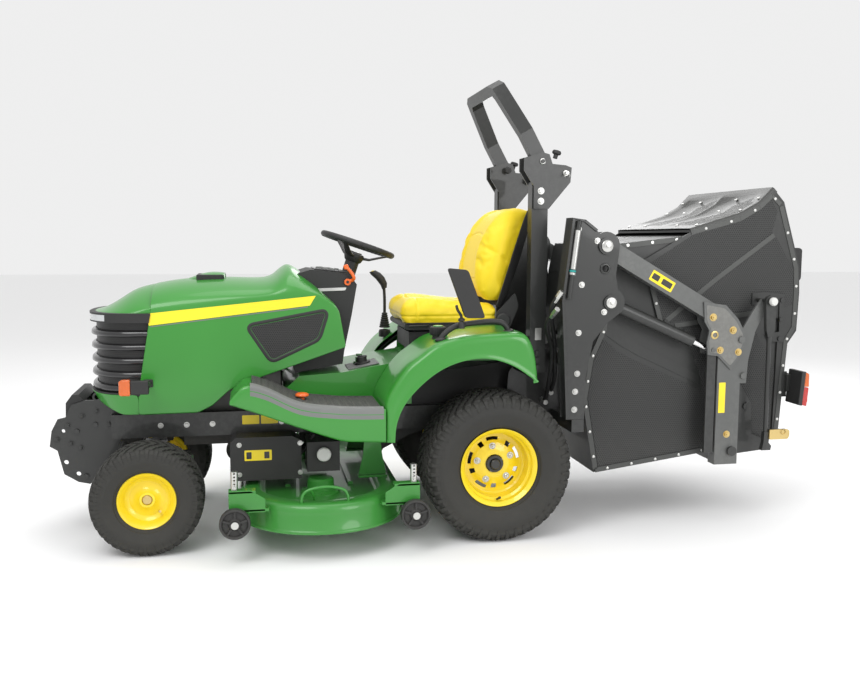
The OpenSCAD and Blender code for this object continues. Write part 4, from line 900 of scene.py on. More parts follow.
def treadRadius(r, w, x):
    # crown of the tread: nearly flat, then round at the shoulders
    t = abs(x) / (w / 2)
    return r - 4 * t ** 2 - 26 * max(0.0, (t - 0.72) / 0.28) ** 2.2


def makeTyre(name, tyreNode, rimNode, body, look):
    middle, r, w, rim = wheelFacts(tyreNode, rimNode)
    bm = bmesh.new()
    lug = look["lug"]
    half = w / 2
    tread = [(treadRadius(r, w, x) - lug, x) for x in [half * t for t in (-0.97, -0.9, -0.8, -0.6, -0.35, 0)]]
    wall = [(rim - 8, -half * 0.62), (rim + 1, -half * 0.68), (rim + 6, -half * 0.76), (rim + 12, -half * 0.80),
            (rim + 14, -half * 0.86), (rim + 20, -half * 0.885), (rim + 24, -half * 0.90),
            (lerp(rim, r, 0.42), -half * 0.975), (lerp(rim, r, 0.46), -half * 0.988),
            (lerp(rim, r, 0.60), -half * 0.99), (lerp(rim, r, 0.64), -half * 0.975),
            (lerp(rim, r, 0.76), -half * 0.985)]
    side = wall + tread
    profile = side + [(p[0], -p[1]) for p in side[-2::-1]]
    inner = [(rim - 12, half * 0.5), (rim - 12, -half * 0.5)]
    addLathe(bm, profile + inner, middle, (1, 0, 0), 96, closed=True)
    turn = 2 * math.pi / look["segments"]
    pitch = w * 0.86 / look["rows"]

    def lugPoint(angle, x, drop):
        radius = (treadRadius(r, w, x) - drop) / 1000
        return middle + Vector((x / 1000, radius * math.sin(angle), radius * math.cos(angle)))

    for row in range(look["rows"]):
        x0 = -w * 0.43 + row * pitch
        for k in range(look["segments"]):
            lean = 0.32 * turn * (1 if row < look["rows"] / 2 else -1)
            start = (k + (0.5 if row % 2 else 0)) * turn
            wide = turn * (look["step"] if row in (0, look["rows"] - 1) else look["step"] - 0.04)
            corners = [(start, x0 + 2.5), (start + wide, x0 + 2.5), (start + wide + lean, x0 + pitch - 2.5),
                       (start + lean, x0 + pitch - 2.5)]
            rings = []
            centre = (sum(c[0] for c in corners) / 4, sum(c[1] for c in corners) / 4)
            for drop, size in ((lug + 2, 1.06), (1.2, 0.98), (0, 0.86)):
                rings.append([lugPoint(centre[0] + (a - centre[0]) * size, centre[1] + (x - centre[1]) * size,
                                       drop) for a, x in corners])
            sectionLoft(bm, rings, capEnds=True)
    for wallSide in (1, -1):    # shoulder bars that run down the wall
        for k in range(look["segments"]):
            start = k * turn
            rings = []
            for radius, x, size, rise in ((treadRadius(r, w, half * 0.86) - 1, 0.86, 0.5, 0),
                                          (treadRadius(r, w, half * 0.93) - 1, 0.94, 0.46, 1),
                                          (r - 34, 0.985, 0.40, 2), (r - 52, 0.99, 0.28, 1)):
                ring = []
                for dx, da in ((-8, -size), (2 + rise, -size * 0.8), (2 + rise, size * 0.8), (-8, size)):
                    angle = start + (da / 2 + 0.25) * turn
                    place = Vector(((wallSide * (half * x + dx - 2)) / 1000, radius / 1000 * math.sin(angle),
                                    radius / 1000 * math.cos(angle)))
                    ring.append(middle + place)
                rings.append(ring)
            sectionLoft(bm, rings, capEnds=True)
    finishPiece(bm, name, body, "tyreRubber", replaces=(tyreNode,), angle=28)


def polarDisc(bm, middle, out, radii, dish, windows, columns=120, thick=4):
    # a dished disc about X with openings: windows says which (ring, column) cells stay open
    def point(i, k, back):
        angle = 2 * math.pi * k / columns
        h = (dish[i] - back) / 1000 * out
        return middle + Vector((h, radii[i] / 1000 * math.cos(angle), radii[i] / 1000 * math.sin(angle)))

    fronts = [[bm.verts.new(point(i, k, 0)) for k in range(columns)] for i in range(len(radii))]
    backs = [[bm.verts.new(point(i, k, thick)) for k in range(columns)] for i in range(len(radii))]
    openCell = {(i, k) for i in range(len(radii) - 1) for k in range(columns) if windows(i, k)}

    def isOpen(i, k):
        return i < 0 or i >= len(radii) - 1 or (i, k % columns) in openCell

    for i in range(len(radii) - 1):
        for k in range(columns):
            j = (k + 1) % columns
            if isOpen(i, k):
                continue
            bm.faces.new((fronts[i][k], fronts[i][j], fronts[i + 1][j], fronts[i + 1][k]))
            bm.faces.new((backs[i + 1][k], backs[i + 1][j], backs[i][j], backs[i][k]))
            if isOpen(i - 1, k):
                bm.faces.new((fronts[i][j], fronts[i][k], backs[i][k], backs[i][j]))
            if isOpen(i + 1, k):
                bm.faces.new((fronts[i + 1][k], fronts[i + 1][j], backs[i + 1][j], backs[i + 1][k]))
            if isOpen(i, k - 1):
                bm.faces.new((fronts[i][k], fronts[i + 1][k], backs[i + 1][k], backs[i][k]))
            if isOpen(i, k + 1):
                bm.faces.new((fronts[i + 1][j], fronts[i][j], backs[i][j], backs[i + 1][j]))
    for v in [v for v in bm.verts if not v.link_faces]:
        bm.verts.remove(v)


def makeRearRim(name, tyreNode, rimNode, body, out):
    middle, _, w, rim = wheelFacts(tyreNode, rimNode)
    half = w * 0.38
    bm = bmesh.new()
    barrel = [(rim - 1, half), (rim + 1, half - 2), (rim, half - 8), (rim - 12, half - 14),
              (rim - 14, half - 34), (rim - 24, half - 44), (rim - 26, 12), (rim - 26, -half + 40),
              (rim - 12, -half + 14), (rim, -half + 6), (rim, -half), (rim - 5, -half), (rim - 17, -half + 12),
              (rim - 31, -half + 40), (rim - 31, 10), (rim - 29, half - 46), (rim - 19, half - 36),
              (rim - 17, half - 16), (rim - 5, half - 3)]
    addLathe(bm, barrel, middle, (out, 0, 0), 96, closed=True)
    radii = [40, 62, 66, 92, 97, 104, 113, 118, rim - 38, rim - 27]
    dish = [26, 26, 24, 20, 16, 12, 9, 8, 8, 18]

    def windows(i, k):
        sector = k % 24
        slot = i in (5, 6) and 3 <= sector < 12
        square = i in (3, 4, 5) and 16 <= sector < 20
        return slot or square

    polarDisc(bm, middle, out, radii, dish, windows)
    finishPiece(bm, name + "Disc", body, "rimYellow", replaces=(rimNode,), bevel=1.2, angle=30)
    bm = bmesh.new()
    for k in range(5):
        angle = 2 * math.pi * (k + 0.35) / 5
        place = middle + Vector((out * 0.022, 0.079 * math.cos(angle), 0.079 * math.sin(angle)))
        addLathe(bm, [(0, 0), (15, 0), (15, 2.5), (11, 3), (10.5, 12), (8, 14), (4, 14), (4, 22), (0, 23)],
                 place, (out, 0, 0), 18)
    finishPiece(bm, name + "Bolts", body, "zincSteel", angle=30)
    bm = bmesh.new()
    addLathe(bm, [(0, 0), (38, 0), (38, 30), (36, 33), (26, 34), (24, 30), (23, 30), (22, 44), (18, 47),
                  (0, 47)], middle + Vector((out * 0.004, 0, 0)), (out, 0, 0), 48)
    finishPiece(bm, name + "Hub", body, "blackPaint", angle=30)
    bm = bmesh.new()
    addLathe(bm, [(0, 0), (4, 0), (4, 22), (5.5, 22), (5.5, 34), (3, 36), (0, 36)],
             middle + Vector((out * (half - 40) / 1000, 0.0, -(rim - 22) / 1000)), (out, 0.2, 0.5), 14)
    finishPiece(bm, name + "Valve", body, "hoseRubber", angle=30)


def makeFrontRim(name, tyreNode, rimNode, body, out):
    middle, _, w, rim = wheelFacts(tyreNode, rimNode)
    half = w * 0.36
    bm = bmesh.new()
    dish = [(rim - 1, half), (rim + 1, half - 2), (rim, half - 8), (rim - 10, half - 13), (rim - 12, half - 22),
            (rim - 20, half - 30), (rim - 30, half - 44), (rim - 44, half - 50), (60, half - 46),
            (46, half - 40), (38, half - 32), (33, half - 28), (31, half - 24), (22, half - 22),
            (20, half - 30), (20, 0), (26, -6), (36, half - 56), (rim - 48, half - 60), (rim - 34, half - 54),
            (rim - 26, -half + 30), (rim - 12, -half + 14), (rim, -half + 6), (rim, -half), (rim - 5, -half),
            (rim - 17, -half + 10), (rim - 31, -half + 30), (rim - 31, half - 58), (rim - 26, half - 38),
            (rim - 17, half - 16), (rim - 5, half - 3)]
    addLathe(bm, dish, middle, (out, 0, 0), 96, closed=True)
    finishPiece(bm, name + "Disc", body, "rimYellow", replaces=(rimNode,), angle=34)
    bm = bmesh.new()
    addLathe(bm, [(0, 0), (20, 0), (20, 6), (17, 9), (0, 11)],
             middle + Vector((out * (half - 30) / 1000, 0, 0)), (out, 0, 0), 36)
    addLathe(bm, [(0, 0), (4, 0), (4, 20), (5.5, 20), (5.5, 30), (0, 32)],
             middle + Vector((out * (half - 46) / 1000, 0.045, -0.055)), (out, 0.2, 0.2), 14)
    finishPiece(bm, name + "Cap", body, "goldZinc", angle=30)


for side, out in (("left", 1), ("right", -1)):
    makeTyre(f"frontTyre_{side}", f"front_tyre_{side}", f"front_rim_{side}", f"front_wheel_{side}",
             tyreLook["front"])
    makeTyre(f"rearTyre_{side}", f"rear_tyre_{side}", f"rear_rim_{side}", f"rear_wheel_{side}",
             tyreLook["rear"])
    makeRearRim(f"rearRim_{side}", f"rear_tyre_{side}", f"rear_rim_{side}", f"rear_wheel_{side}", out)
    makeFrontRim(f"frontRim_{side}", f"front_tyre_{side}", f"front_rim_{side}", f"front_wheel_{side}", out)
print("wheels made")

# mower deck

deckLook = {
    "wall": 4, "spread": 346, "radius": 354, "low": 118, "top": 240,
    "profile": [(352, 118), (354, 119), (354, 127), (351, 131), (348, 134), (347, 205), (344, 222), (335, 234),
                (322, 239), (306, 240), (272, 240), (262, 237), (252, 226), (246, 211), (238, 204), (225, 202),
                (150, 202), (60, 203), (12, 203)],
}
deckMiddle = -wheelbase * 1000 / 2 - 16


def lobePoints(r, z, steps=26):
    pts = []
    for side, start in ((1, -90), (-1, 90)):
        for i in range(steps + 1):
            t = math.radians(start + 180 * i / steps)
            pts.append(at(side * deckLook["spread"] + r * math.cos(t), deckMiddle + r * math.sin(t), z))
    return pts


def makeDeck(look):
    bm = bmesh.new()
    rings = sectionLoft(bm, [lobePoints(r, z) for r, z in look["profile"]])
    bm.faces.new(rings[-1])
    finishPiece(bm, "deckShell", "deck", "deckGreen", solid=look["wall"], angle=55, replaces=("deck_shell",))
    bm = bmesh.new()
    for side in (1, -1):
        x = side * look["spread"]
        addLathe(bm, [(0, 200), (86, 200), (86, 207), (70, 212), (60, 216), (57, 258), (50, 266), (0, 268)],
                 at(x, deckMiddle, 0), (0, 0, 1), 48)
        for k in range(6):
            turn = math.pi * k / 3
            place = at(x + 76 * math.cos(turn), deckMiddle + 76 * math.sin(turn), 206)
            addLathe(bm, [(0, 0), (9, 0), (9, 7), (7, 8), (0, 8)], place, (0, 0, 1), 6)
    for y in (-150, 130):
        addBlock(bm, (-250, deckMiddle + y, 202), (250, deckMiddle + y + 22, 214))
    finishPiece(bm, "deckSpindles", "deck", "deckGreen", angle=32)
    bm = bmesh.new()
    hang = deckMiddle + 220
    addPrism(bm, [(hang - 46, 238), (hang + 84, 238), (hang + 66, 330), (hang + 58, 396), (hang + 44, 408),
                  (hang - 8, 408), (hang - 18, 396), (hang - 24, 330)], 254, 262)
    addPrism(bm, [(hang - 46, 238), (hang + 84, 238), (hang + 84, 248), (hang - 46, 248)], 240, 290)
    bail = [(640, -100, 236), (640, -98, 262), (640, -84, 284), (640, -50, 296), (640, 0, 301), (640, 42, 296),
            (640, 74, 284), (640, 88, 262), (640, 90, 236)]
    addTube(bm, [at(x, deckMiddle + y, z) for x, y, z in smoothPath(bail, 5)], 12)
    addTube(bm, [at(x, deckMiddle + y, z) for x, y, z in smoothPath([(640, -60, 292), (622, -50, 262),
                                                                     (604, -46, 238)], 5)], 10)
    finishPiece(bm, "deckHangers", "deck", "deckGreen", both=True, bevel=1.5)
    bm = bmesh.new()
    postX, postY, pinZ = 612, look["radius"] + 12, 314
    for sign in (-1, 1):
        def y(v):
            return deckMiddle + sign * v
        flat = [(postX - 120, postY - 62), (postX - 16, postY - 142), (postX + 24, postY - 136),
                (postX + 24, postY + 24), (postX - 24, postY + 24)]
        for z0, z1 in ((210, 222), (286, 298)):
            pts = flat if z0 < 250 else [(postX - 24, postY - 84), (postX + 24, postY - 84), *flat[3:]]
            low = [bm.verts.new(at(px, y(py), z0)) for px, py in pts]
            high = [bm.verts.new(at(px, y(py), z1)) for px, py in pts]
            bm.faces.new(low)
            bm.faces.new(high[::-1])
            for i in range(len(pts)):
                j = (i + 1) % len(pts)
                bm.faces.new((low[j], low[i], high[i], high[j]))
        near = sorted((y(postY - 122), y(postY + 24)))
        top = ([(near[1], 300), (near[0] + 60, 300), (near[0], 262)] if sign > 0 else [(near[1], 262),
                                                                                       (near[1] - 60, 300),
                                                                                       (near[0], 300)])
        addPrism(bm, [(near[0], 207), (near[1], 207), *top], postX + 17, postX + 24)
        block = sorted((y(postY - 20), y(postY + 20)))
        addBlock(bm, (postX - 24, block[0], 212), (postX + 20, block[1], 296))
    finishPiece(bm, "gaugeBrackets", "deck", "deckGreen", both=True, bevel=2.5)
    bm = bmesh.new()
    for sign in (-1, 1):
        place = deckMiddle + sign * postY
        addRod(bm, at(postX - 26, place, pinZ), at(postX + 30, place, pinZ), 8, 14)
        addTube(bm, [at(postX + 24, place + 7 * math.cos(t), pinZ + 9 + 9 * math.sin(t))
                     for t in [math.pi * 2 * i / 20 for i in range(21)]], 2.4, 8)
    finishPiece(bm, "gaugePins", "deck", "zincSteel", both=True)
    for key, sign in (("front", -1), ("rear", 1)):
        bm = bmesh.new()
        place = at(644, deckMiddle + sign * postY, 174)
        addLathe(bm, [(28, 6), (54, 4), (60, 5), (62, 9), (62, 33), (60, 37), (54, 38), (50, 34), (48, 26),
                      (28, 26), (20, 38), (9, 38), (9, 2), (20, 2)], place, (1, 0, 0), 56, closed=True)
        for k in range(5):
            turn = 2 * math.pi * k / 5
            arm = Matrix.Rotation(turn, 3, "X")
            low, high = Vector((0.024, -0.004, 0.016)), Vector((0.035, 0.004, 0.050))
            corners = [(a, b, c) for a in (low.x, high.x) for b in (low.y, high.y) for c in (low.z, high.z)]
            vs = [bm.verts.new(place + arm @ Vector(c)) for c in corners]
            for f in ((0, 1, 3, 2), (4, 6, 7, 5), (0, 4, 5, 1), (2, 3, 7, 6), (0, 2, 6, 4), (1, 5, 7, 3)):
                bm.faces.new([vs[i] for i in f])
        finishPiece(bm, f"gaugeWheels_{key}", f"gauge_wheels_{key}", "blackPlastic", both=True, bevel=1,
                    replaces=(f"gauge_wheels_{key}",))


makeDeck(deckLook)
print("deck made")

# fenders, footboards and mats

fenderLook = {
    "x0": 250, "x1": 590, "wall": 4,
    "top": [(-506, 462), (-504, 560), (-496, 645), (-420, 766), (-345, 830), (-273, 876), (-150, 905),
            (-15, 914), (75, 914), (118, 893), (148, 820), (164, 705)],
    "arch": [(-462, 462), (-454, 540), (-420, 620), (-350, 700), (-260, 765), (-160, 800), (-60, 805),
             (40, 775), (119, 725), (150, 700)],
    "board": {"top": [(-1132, 648), (-1110, 674), (-1066, 709), (-987, 690), (-853, 627), (-700, 604),
                      (-600, 598), (-500, 596)], "low": [(-1132, 640), (-1000, 592), (-860, 538), (-691, 478),
                                                         (-600, 468), (-500, 462)]},
}


def evenPoints(points, count):
    # the same smooth line as evenly spaced points
    line = [Vector(p) for p in smoothPath(points, 12)]
    lengths = [0.0]
    for a, b in zip(line, line[1:]):
        lengths.append(lengths[-1] + (b - a).length)
    out = []
    k = 0
    for i in range(count):
        want = lengths[-1] * i / (count - 1)
        while k < len(lengths) - 2 and lengths[k + 1] < want:
            k += 1
        span = max(1e-9, lengths[k + 1] - lengths[k])
        out.append(line[k].lerp(line[k + 1], min(1.0, (want - lengths[k]) / span)))
    return out


def makeFenders(look):
    bm = bmesh.new()
    count = 72
    tops = evenPoints(look["top"], count)
    arches = evenPoints(look["arch"], count)
    rings = []
    for t, a in zip(tops, arches):
        toward = a - t
        reach = toward.length
        step = toward / reach
        n = [(look["x0"] - 2, 0), (look["x0"] + 60, 0), (430, 0), (520, 1), (556, 3), (574, 7), (584, 14),
             (589, 26), (590, min(46, reach * 0.6))]
        ring = [at(x, *(t + step * d)) for x, d in n]
        ring += [at(590, *(t + step * max(min(46, reach * 0.6), reach - 26))),
                 at(591, *(t + step * (reach - 10))), at(594, *(t + step * (reach - 4))), at(593, *a),
                 at(584, *(a + step * 1)), at(570, *(a - step * 2))]
        rings.append(ring)
    sectionLoft(bm, rings, closedRing=False)
    finishPiece(bm, "fenderPanels", "chassis", "greenPaint", both=True, solid=look["wall"], angle=50,
                replaces=("rear_fenders",))
    bm = bmesh.new()
    addPrism(bm, [(-320, 752), (150, 752), (150, 800), (146, 806), (-316, 806), (-320, 800)], -254, -246)
    addPrism(bm, [(-320, 752), (150, 752), (150, 800), (146, 806), (-316, 806), (-320, 800)], 246, 254)
    addBlock(bm, (-247, -320, 760), (247, 150, 765))
    addPrism(bm, [(-500, 600), (-324, 752), (-316, 764), (-322, 768), (-340, 752), (-500, 620)], -247, 247)
    finishPiece(bm, "seatPlatform", "chassis", "greenPaint", bevel=2)
    bm = bmesh.new()
    addBlock(bm, (-138, -303, 765), (138, 13, 828))
    finishPiece(bm, "seatPlinth", "chassis", "blackPlastic", bevel=6)
    bm = bmesh.new()
    addLathe(bm, [(0, -24), (27, -24), (27, -10), (25, -8), (25, -1), (0, 0)], at(430, -248, 892), (0, 0, 1),
             40)
    addLathe(bm, [(16, -40), (30, -40), (30, -12), (26, -4), (12, -2), (12, -40)], at(-320, -371, 850),
             (0, 0, 1), 40, closed=True)
    finishPiece(bm, "fillerNeck", "chassis", "blackPlastic")


def makeFootboards(look):
    bm = bmesh.new()
    count = 56
    tops = evenPoints(look["board"]["top"], count)
    lows = evenPoints(look["board"]["low"], count)
    rings = []
    for t, a in zip(tops, lows):
        gap = max(6.0, t[1] - a[1])
        inner = hoodLook["halfWidth"] + 4 if t[0] < fy(470) else 246
        n = [(inner, t[1]), (lerp(inner, 560, 0.5), t[1]), (560, t[1]), (566, t[1] + 5), (576, t[1] + 7),
             (585, t[1] + 4), (589, t[1] - 4), (590, t[1] - min(14, gap * 0.4)),
             (590, a[1] + min(12, gap * 0.3)), (588, a[1] + min(5, gap * 0.15)), (582, a[1]), (566, a[1] + 2)]
        rings.append([at(x, lerp(t[0], a[0], (t[1] - z) / gap), z) for x, z in n])
    sectionLoft(bm, rings, closedRing=False)
    finishPiece(bm, "footboardPanels", "chassis", "greenPaint", both=True, solid=4, angle=45,
                replaces=("footboards",))
    # ribbed mats in a raised border
    bm = bmesh.new()
    base = [t for t in evenPoints(look["board"]["top"], 90) if -1048 < t[0] < -508]
    rings = []
    for i, t in enumerate(base):
        x0 = hoodLook["halfWidth"] + 12 if t[0] < fy(470) else 268
        x1 = 556
        edge = i < 3 or i > len(base) - 4
        ring = [at(x0, t[0], t[1] + 2), at(x0 + 1, t[0], t[1] + 11), at(x0 + 12, t[0], t[1] + 11),
                at(x0 + 14, t[0], t[1] + 7)]
        for k in range(14):
            x = lerp(x0 + 20, x1 - 20, k / 14)
            wide = (x1 - x0 - 40) / 14
            rise = 11 if edge else (11 if i % 4 < 2 else 7)
            ring += [at(x, t[0], t[1] + 7), at(x + 1, t[0], t[1] + rise), at(x + wide - 4, t[0], t[1] + rise),
                     at(x + wide - 3, t[0], t[1] + 7)]
        ring += [at(x1 - 14, t[0], t[1] + 7), at(x1 - 12, t[0], t[1] + 11), at(x1 - 1, t[0], t[1] + 11),
                 at(x1, t[0], t[1] + 2)]
        rings.append(ring)
    sectionLoft(bm, rings, closedRing=True, capEnds=True)
    finishPiece(bm, "footMats", "chassis", "matRubber", both=True, angle=30, replaces=("foot_mats",))
    bm = bmesh.new()
    edgeLine = [t for t in evenPoints(look["board"]["top"], 90) if -1056 < t[0] < -504]
    sectionLoft(bm, [[at(556, t[0], t[1] + 1), at(557, t[0], t[1] + 13), at(562, t[0], t[1] + 16),
                      at(584, t[0], t[1] + 11), at(589.5, t[0], t[1] + 2), at(590.5, t[0], t[1] - 34),
                      at(586, t[0], t[1] - 36), at(584, t[0], t[1] - 4)] for t in edgeLine], capEnds=True)
    finishPiece(bm, "matEdging", "chassis", "greyPanel", both=True, angle=30)


makeFenders(fenderLook)
makeFootboards(fenderLook)

linerLook = {"handle": [(-262, 872), (-240, 905), (-205, 931), (-159, 945), (-100, 952), (-38, 957), (8, 951),
                        (32, 932), (40, 908)], "handleX": 520}


def makeLiners(look):
    bm = bmesh.new()
    outer = evenPoints([(-486, 470), (-484, 560), (-478, 640), (-408, 752), (-267, 860), (-148, 891),
                        (-15, 901), (70, 899), (112, 868), (140, 790), (150, 712)], 60)
    rings = []
    for i, p in enumerate(outer):
        a, b = outer[max(0, i - 1)], outer[min(len(outer) - 1, i + 1)]
        t = (b - a).normalized()
        inward = Vector((t.y, -t.x)) * 6
        q = p + inward
        rings.append([at(256, *p), at(576, *p), at(582, *(p + inward * 0.2)), at(582, *q), at(256, *q)])
    sectionLoft(bm, rings, capEnds=True)
    finishPiece(bm, "archLiners", "chassis", "blackPlastic", both=True, replaces=("fender_liners",), angle=35)
    bm = bmesh.new()
    x = look["handleX"]
    addTube(bm, [at(x, *p) for p in smoothPath(look["handle"], 6)], 24, 18)
    for y, z in ((look["handle"][0][0] + 6, 884), (look["handle"][-1][0], 914)):
        addLathe(bm, [(0, -4), (24, -4), (24, 2), (18, 7), (0, 8)], at(x, y, z), (0, -0.2, 1), 28)
    finishPiece(bm, "grabHandles", "chassis", "blackPlastic", both=True, angle=40)
    bm = bmesh.new()
    addLathe(bm, [(0, 0), (14, 0), (14, 26), (12, 29), (0, 30)], at(549, -172, 931), (0, 0, 1), 24)
    addRod(bm, at(518, -172, 944), at(549, -172, 944), 16)
    addBolt(bm, 534, -172, 952, 12, 5)
    finishPiece(bm, "mirrorSocket", "chassis", "blackPlastic")


makeLiners(linerLook)
print("fenders and footboards made")

# seat: pads are blown up with cloth, then sewn

seatLook = {"half": 226, "voxel": 0.008, "pressure": 4.0, "cap": 0.014}


def gridPad(bm, rows, half, sides, columns=24):
    # rows: (lowFront, highBack) pairs of places seen from the side; sides(t) narrows the pad along its length
    rings = []
    count = len(rows)
    for i, (front, back) in enumerate(rows):
        t = i / (count - 1)
        wide = half * sides(t)
        ring = []
        for k in range(columns + 1):
            u = -1 + 2 * k / columns
            bow = (1 - abs(u) ** 4)
            side = max(0.0, (abs(u) - 0.55) / 0.45)
            wing = math.sin(side * math.pi * 0.8) * 20
            p = Vector(front) + (Vector(front) - Vector(back)).normalized() * (wing - (1 - bow) * 12)
            ring.append(at(u * wide, p.x, p.y))
        for k in range(columns, -1, -1):
            u = -1 + 2 * k / columns
            ring.append(at(u * wide * 0.985, *back))
        rings.append(ring)
    sectionLoft(bm, rings, capEnds=True)


def puff(piece, look):
    # voxel remesh and a short cloth run with air pressure, then a cap on how far a point went
    scene = bpy.context.scene
    bpy.context.view_layer.objects.active = piece
    remesh = piece.modifiers.new("remesh", "REMESH")
    remesh.mode = "VOXEL"
    remesh.voxel_size = look["voxel"]
    bpy.ops.object.modifier_apply(modifier="remesh")
    before = [v.co.copy() for v in piece.data.vertices]
    cloth = piece.modifiers.new("cloth", "CLOTH")
    cloth.settings.use_pressure = True
    cloth.settings.uniform_pressure_force = look["pressure"]
    cloth.settings.effector_weights.gravity = 0
    cloth.settings.quality = 4
    cloth.point_cache.frame_start, cloth.point_cache.frame_end = 1, 16
    for f in range(1, 17):
        scene.frame_set(f)
    shaped = piece.evaluated_get(bpy.context.evaluated_depsgraph_get())
    after = [v.co.copy() for v in shaped.data.vertices]
    piece.modifiers.remove(cloth)
    for v, a, b in zip(piece.data.vertices, before, after):
        move = b - a
        v.co = a + move * min(1.0, look["cap"] / max(1e-9, move.length))
    scene.frame_set(1)


def sew(piece, seams, depth, width):
    # channels along seam functions: each gives the distance from a point to its seam, in metres
    mesh = piece.data
    moves = []
    for v in mesh.vertices:
        near = min(abs(s(v.co)) for s in seams)
        moves.append(v.normal * -depth * math.exp(-(near / width) ** 2))
    for v, m in zip(mesh.vertices, moves):
        v.co += m


def relax(bm, times):
    for _ in range(times):
        bmesh.ops.smooth_vert(bm, verts=bm.verts[:], factor=0.5, use_axis_x=True, use_axis_y=True,
                              use_axis_z=True)


def smoothPad(name, bm, body, replaced, look, seams):
    bmesh.ops.recalc_face_normals(bm, faces=bm.faces[:])
    piece = linkPiece(bm, name, "seatVinyl")
    puff(piece, look)
    bm = bmesh.new()
    bm.from_mesh(piece.data)
    relax(bm, 3)
    bmesh.ops.subdivide_edges(bm, edges=bm.edges[:], cuts=1, use_grid_fill=True)
    relax(bm, 2)
    bmesh.ops.recalc_face_normals(bm, faces=bm.faces[:])
    for f in bm.faces:
        f.smooth = True
    bm.to_mesh(piece.data)
    bm.free()
    sew(piece, seams, 0.0045, 0.0045)
    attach(piece, body)
    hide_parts(replaced)


def makeSeat(look):
    half = look["half"]
    # cushion: from the front lip to the hip
    top = smoothPath([(-380, 962), (-368, 996), (-335, 1010), (-240, 1010), (-100, 994), (20, 986), (76, 986)],
                     4)
    low = smoothPath([(-372, 944), (-350, 926), (-320, 914), (-240, 910), (-100, 910), (20, 910), (76, 912)], 4)
    bm = bmesh.new()
    gridPad(bm, list(zip(top, low)), half, lambda t: 0.86 + 0.12 * math.sin(min(1.0, t * 3) * math.pi / 2))
    rest = rearY
    smoothPad("seatCushion", bm, "seat", "seat_cushion", look,
              [lambda p: abs(p.x) - 0.118 if p.z > 0.93 and -0.30 < p.y - rest < 0.2 else 1.0,
               lambda p: (p.y - rest) + 0.30 if p.z > 0.94 else 1.0,
               lambda p: (p.y - rest) + 0.085 if p.z > 0.94 and abs(p.x) < 0.12 else 1.0,
               lambda p: p.z - 0.955 if abs(p.x) > 0.19 or p.y - rest < -0.34 else 1.0])
    # back: from the lumbar to the head
    face = smoothPath([(36, 1016), (12, 1060), (2, 1120), (6, 1196), (24, 1270), (52, 1335), (95, 1395),
                       (140, 1436), (190, 1452)], 4)
    rear = smoothPath([(98, 1016), (116, 1060), (132, 1120), (158, 1196), (182, 1270), (204, 1330), (224, 1380),
                       (244, 1420), (250, 1440)], 4)
    bm = bmesh.new()
    gridPad(bm, list(zip(face, rear)), half, lambda t: ((0.97 - 0.10 * t - 0.30 * max(0.0, t - 0.62) ** 1.2)
                                                        * (0.90 + 0.10 * min(1.0, t * 8))))
    smoothPad("seatBackPad", bm, "seat_back", "seat_back_pad", look,
              [lambda p: abs(p.x) - (0.128 - 0.03 * (p.z - 1.0)) if 1.03 < p.z < 1.33 else 1.0,
               lambda p: p.z - 1.335 + 0.12 * p.x * p.x * 10 if abs(p.x) < 0.15 else 1.0,
               lambda p: p.z - 1.12 if abs(p.x) < 0.125 else 1.0])
    # shell behind the pads
    bm = bmesh.new()
    count = 30
    fronts = evenPoints([(96, 996), (118, 1060), (138, 1120), (163, 1196), (187, 1270), (209, 1330),
                         (230, 1385), (250, 1428), (262, 1446)], count)
    rings = []
    for i, p in enumerate(fronts):
        t = i / (count - 1)
        wide = 232 * (1 - 0.10 * t - 0.34 * max(0.0, t - 0.62) ** 1.2)
        deep = 26 + 14 * math.sin(t * math.pi)
        ring = []
        for k in range(25):
            u = -1 + 2 * k / 24
            y = p[0] - 30 * max(0.0, (abs(u) - 0.86) / 0.14) + deep * (1 - abs(u) ** 3)
            ring.append(at(u * wide, y, p[1] - 0.35 * deep * (1 - abs(u) ** 3)))
        rings.append(ring)
    sectionLoft(bm, rings, closedRing=False)
    for side in (1, -1):
        plate = [(60, 900), (128, 900), (170, 1000), (152, 1062), (112, 1020), (62, 968)]
        addPrism(bm, roundedOutline(plate, 16), side * 233, side * 242)
    finishPiece(bm, "seatShell", "seat_back", "blackPlastic", solid=5, replaces=("seat_back_shell",), angle=50)
    bm = bmesh.new()
    for side in (1, -1):
        addLathe(bm, [(0, 0), (30, 0), (34, 4), (34, 10), (28, 15), (0, 17)], at(side * 242, 95, 935),
                 (side, 0, 0), 40)
    addPrism(bm, roundedOutline([(-352, 894), (60, 894), (72, 912), (60, 926), (-350, 926), (-362, 912)], 10),
             -214, 214)
    for side in (1, -1):
        addBlock(bm, (side * 129 - 14, -338, 893), (side * 129 + 14, 66, 905))
    addTube(bm, [at(x, y, z) for x, y, z in smoothPath([(214, -250, 914), (228, -262, 914), (231, -300, 914),
                                                        (231, -340, 912)], 5)], 10)
    finishPiece(bm, "seatPan", "seat", "blackPlastic", bevel=2)


makeSeat(seatLook)
print("seat made")

# steering wheel, dash and hand controls

wheelLook = {"middle": (0, -544, 1278), "tilt": 18.6, "radius": 166, "grip": 27, "dish": 66}


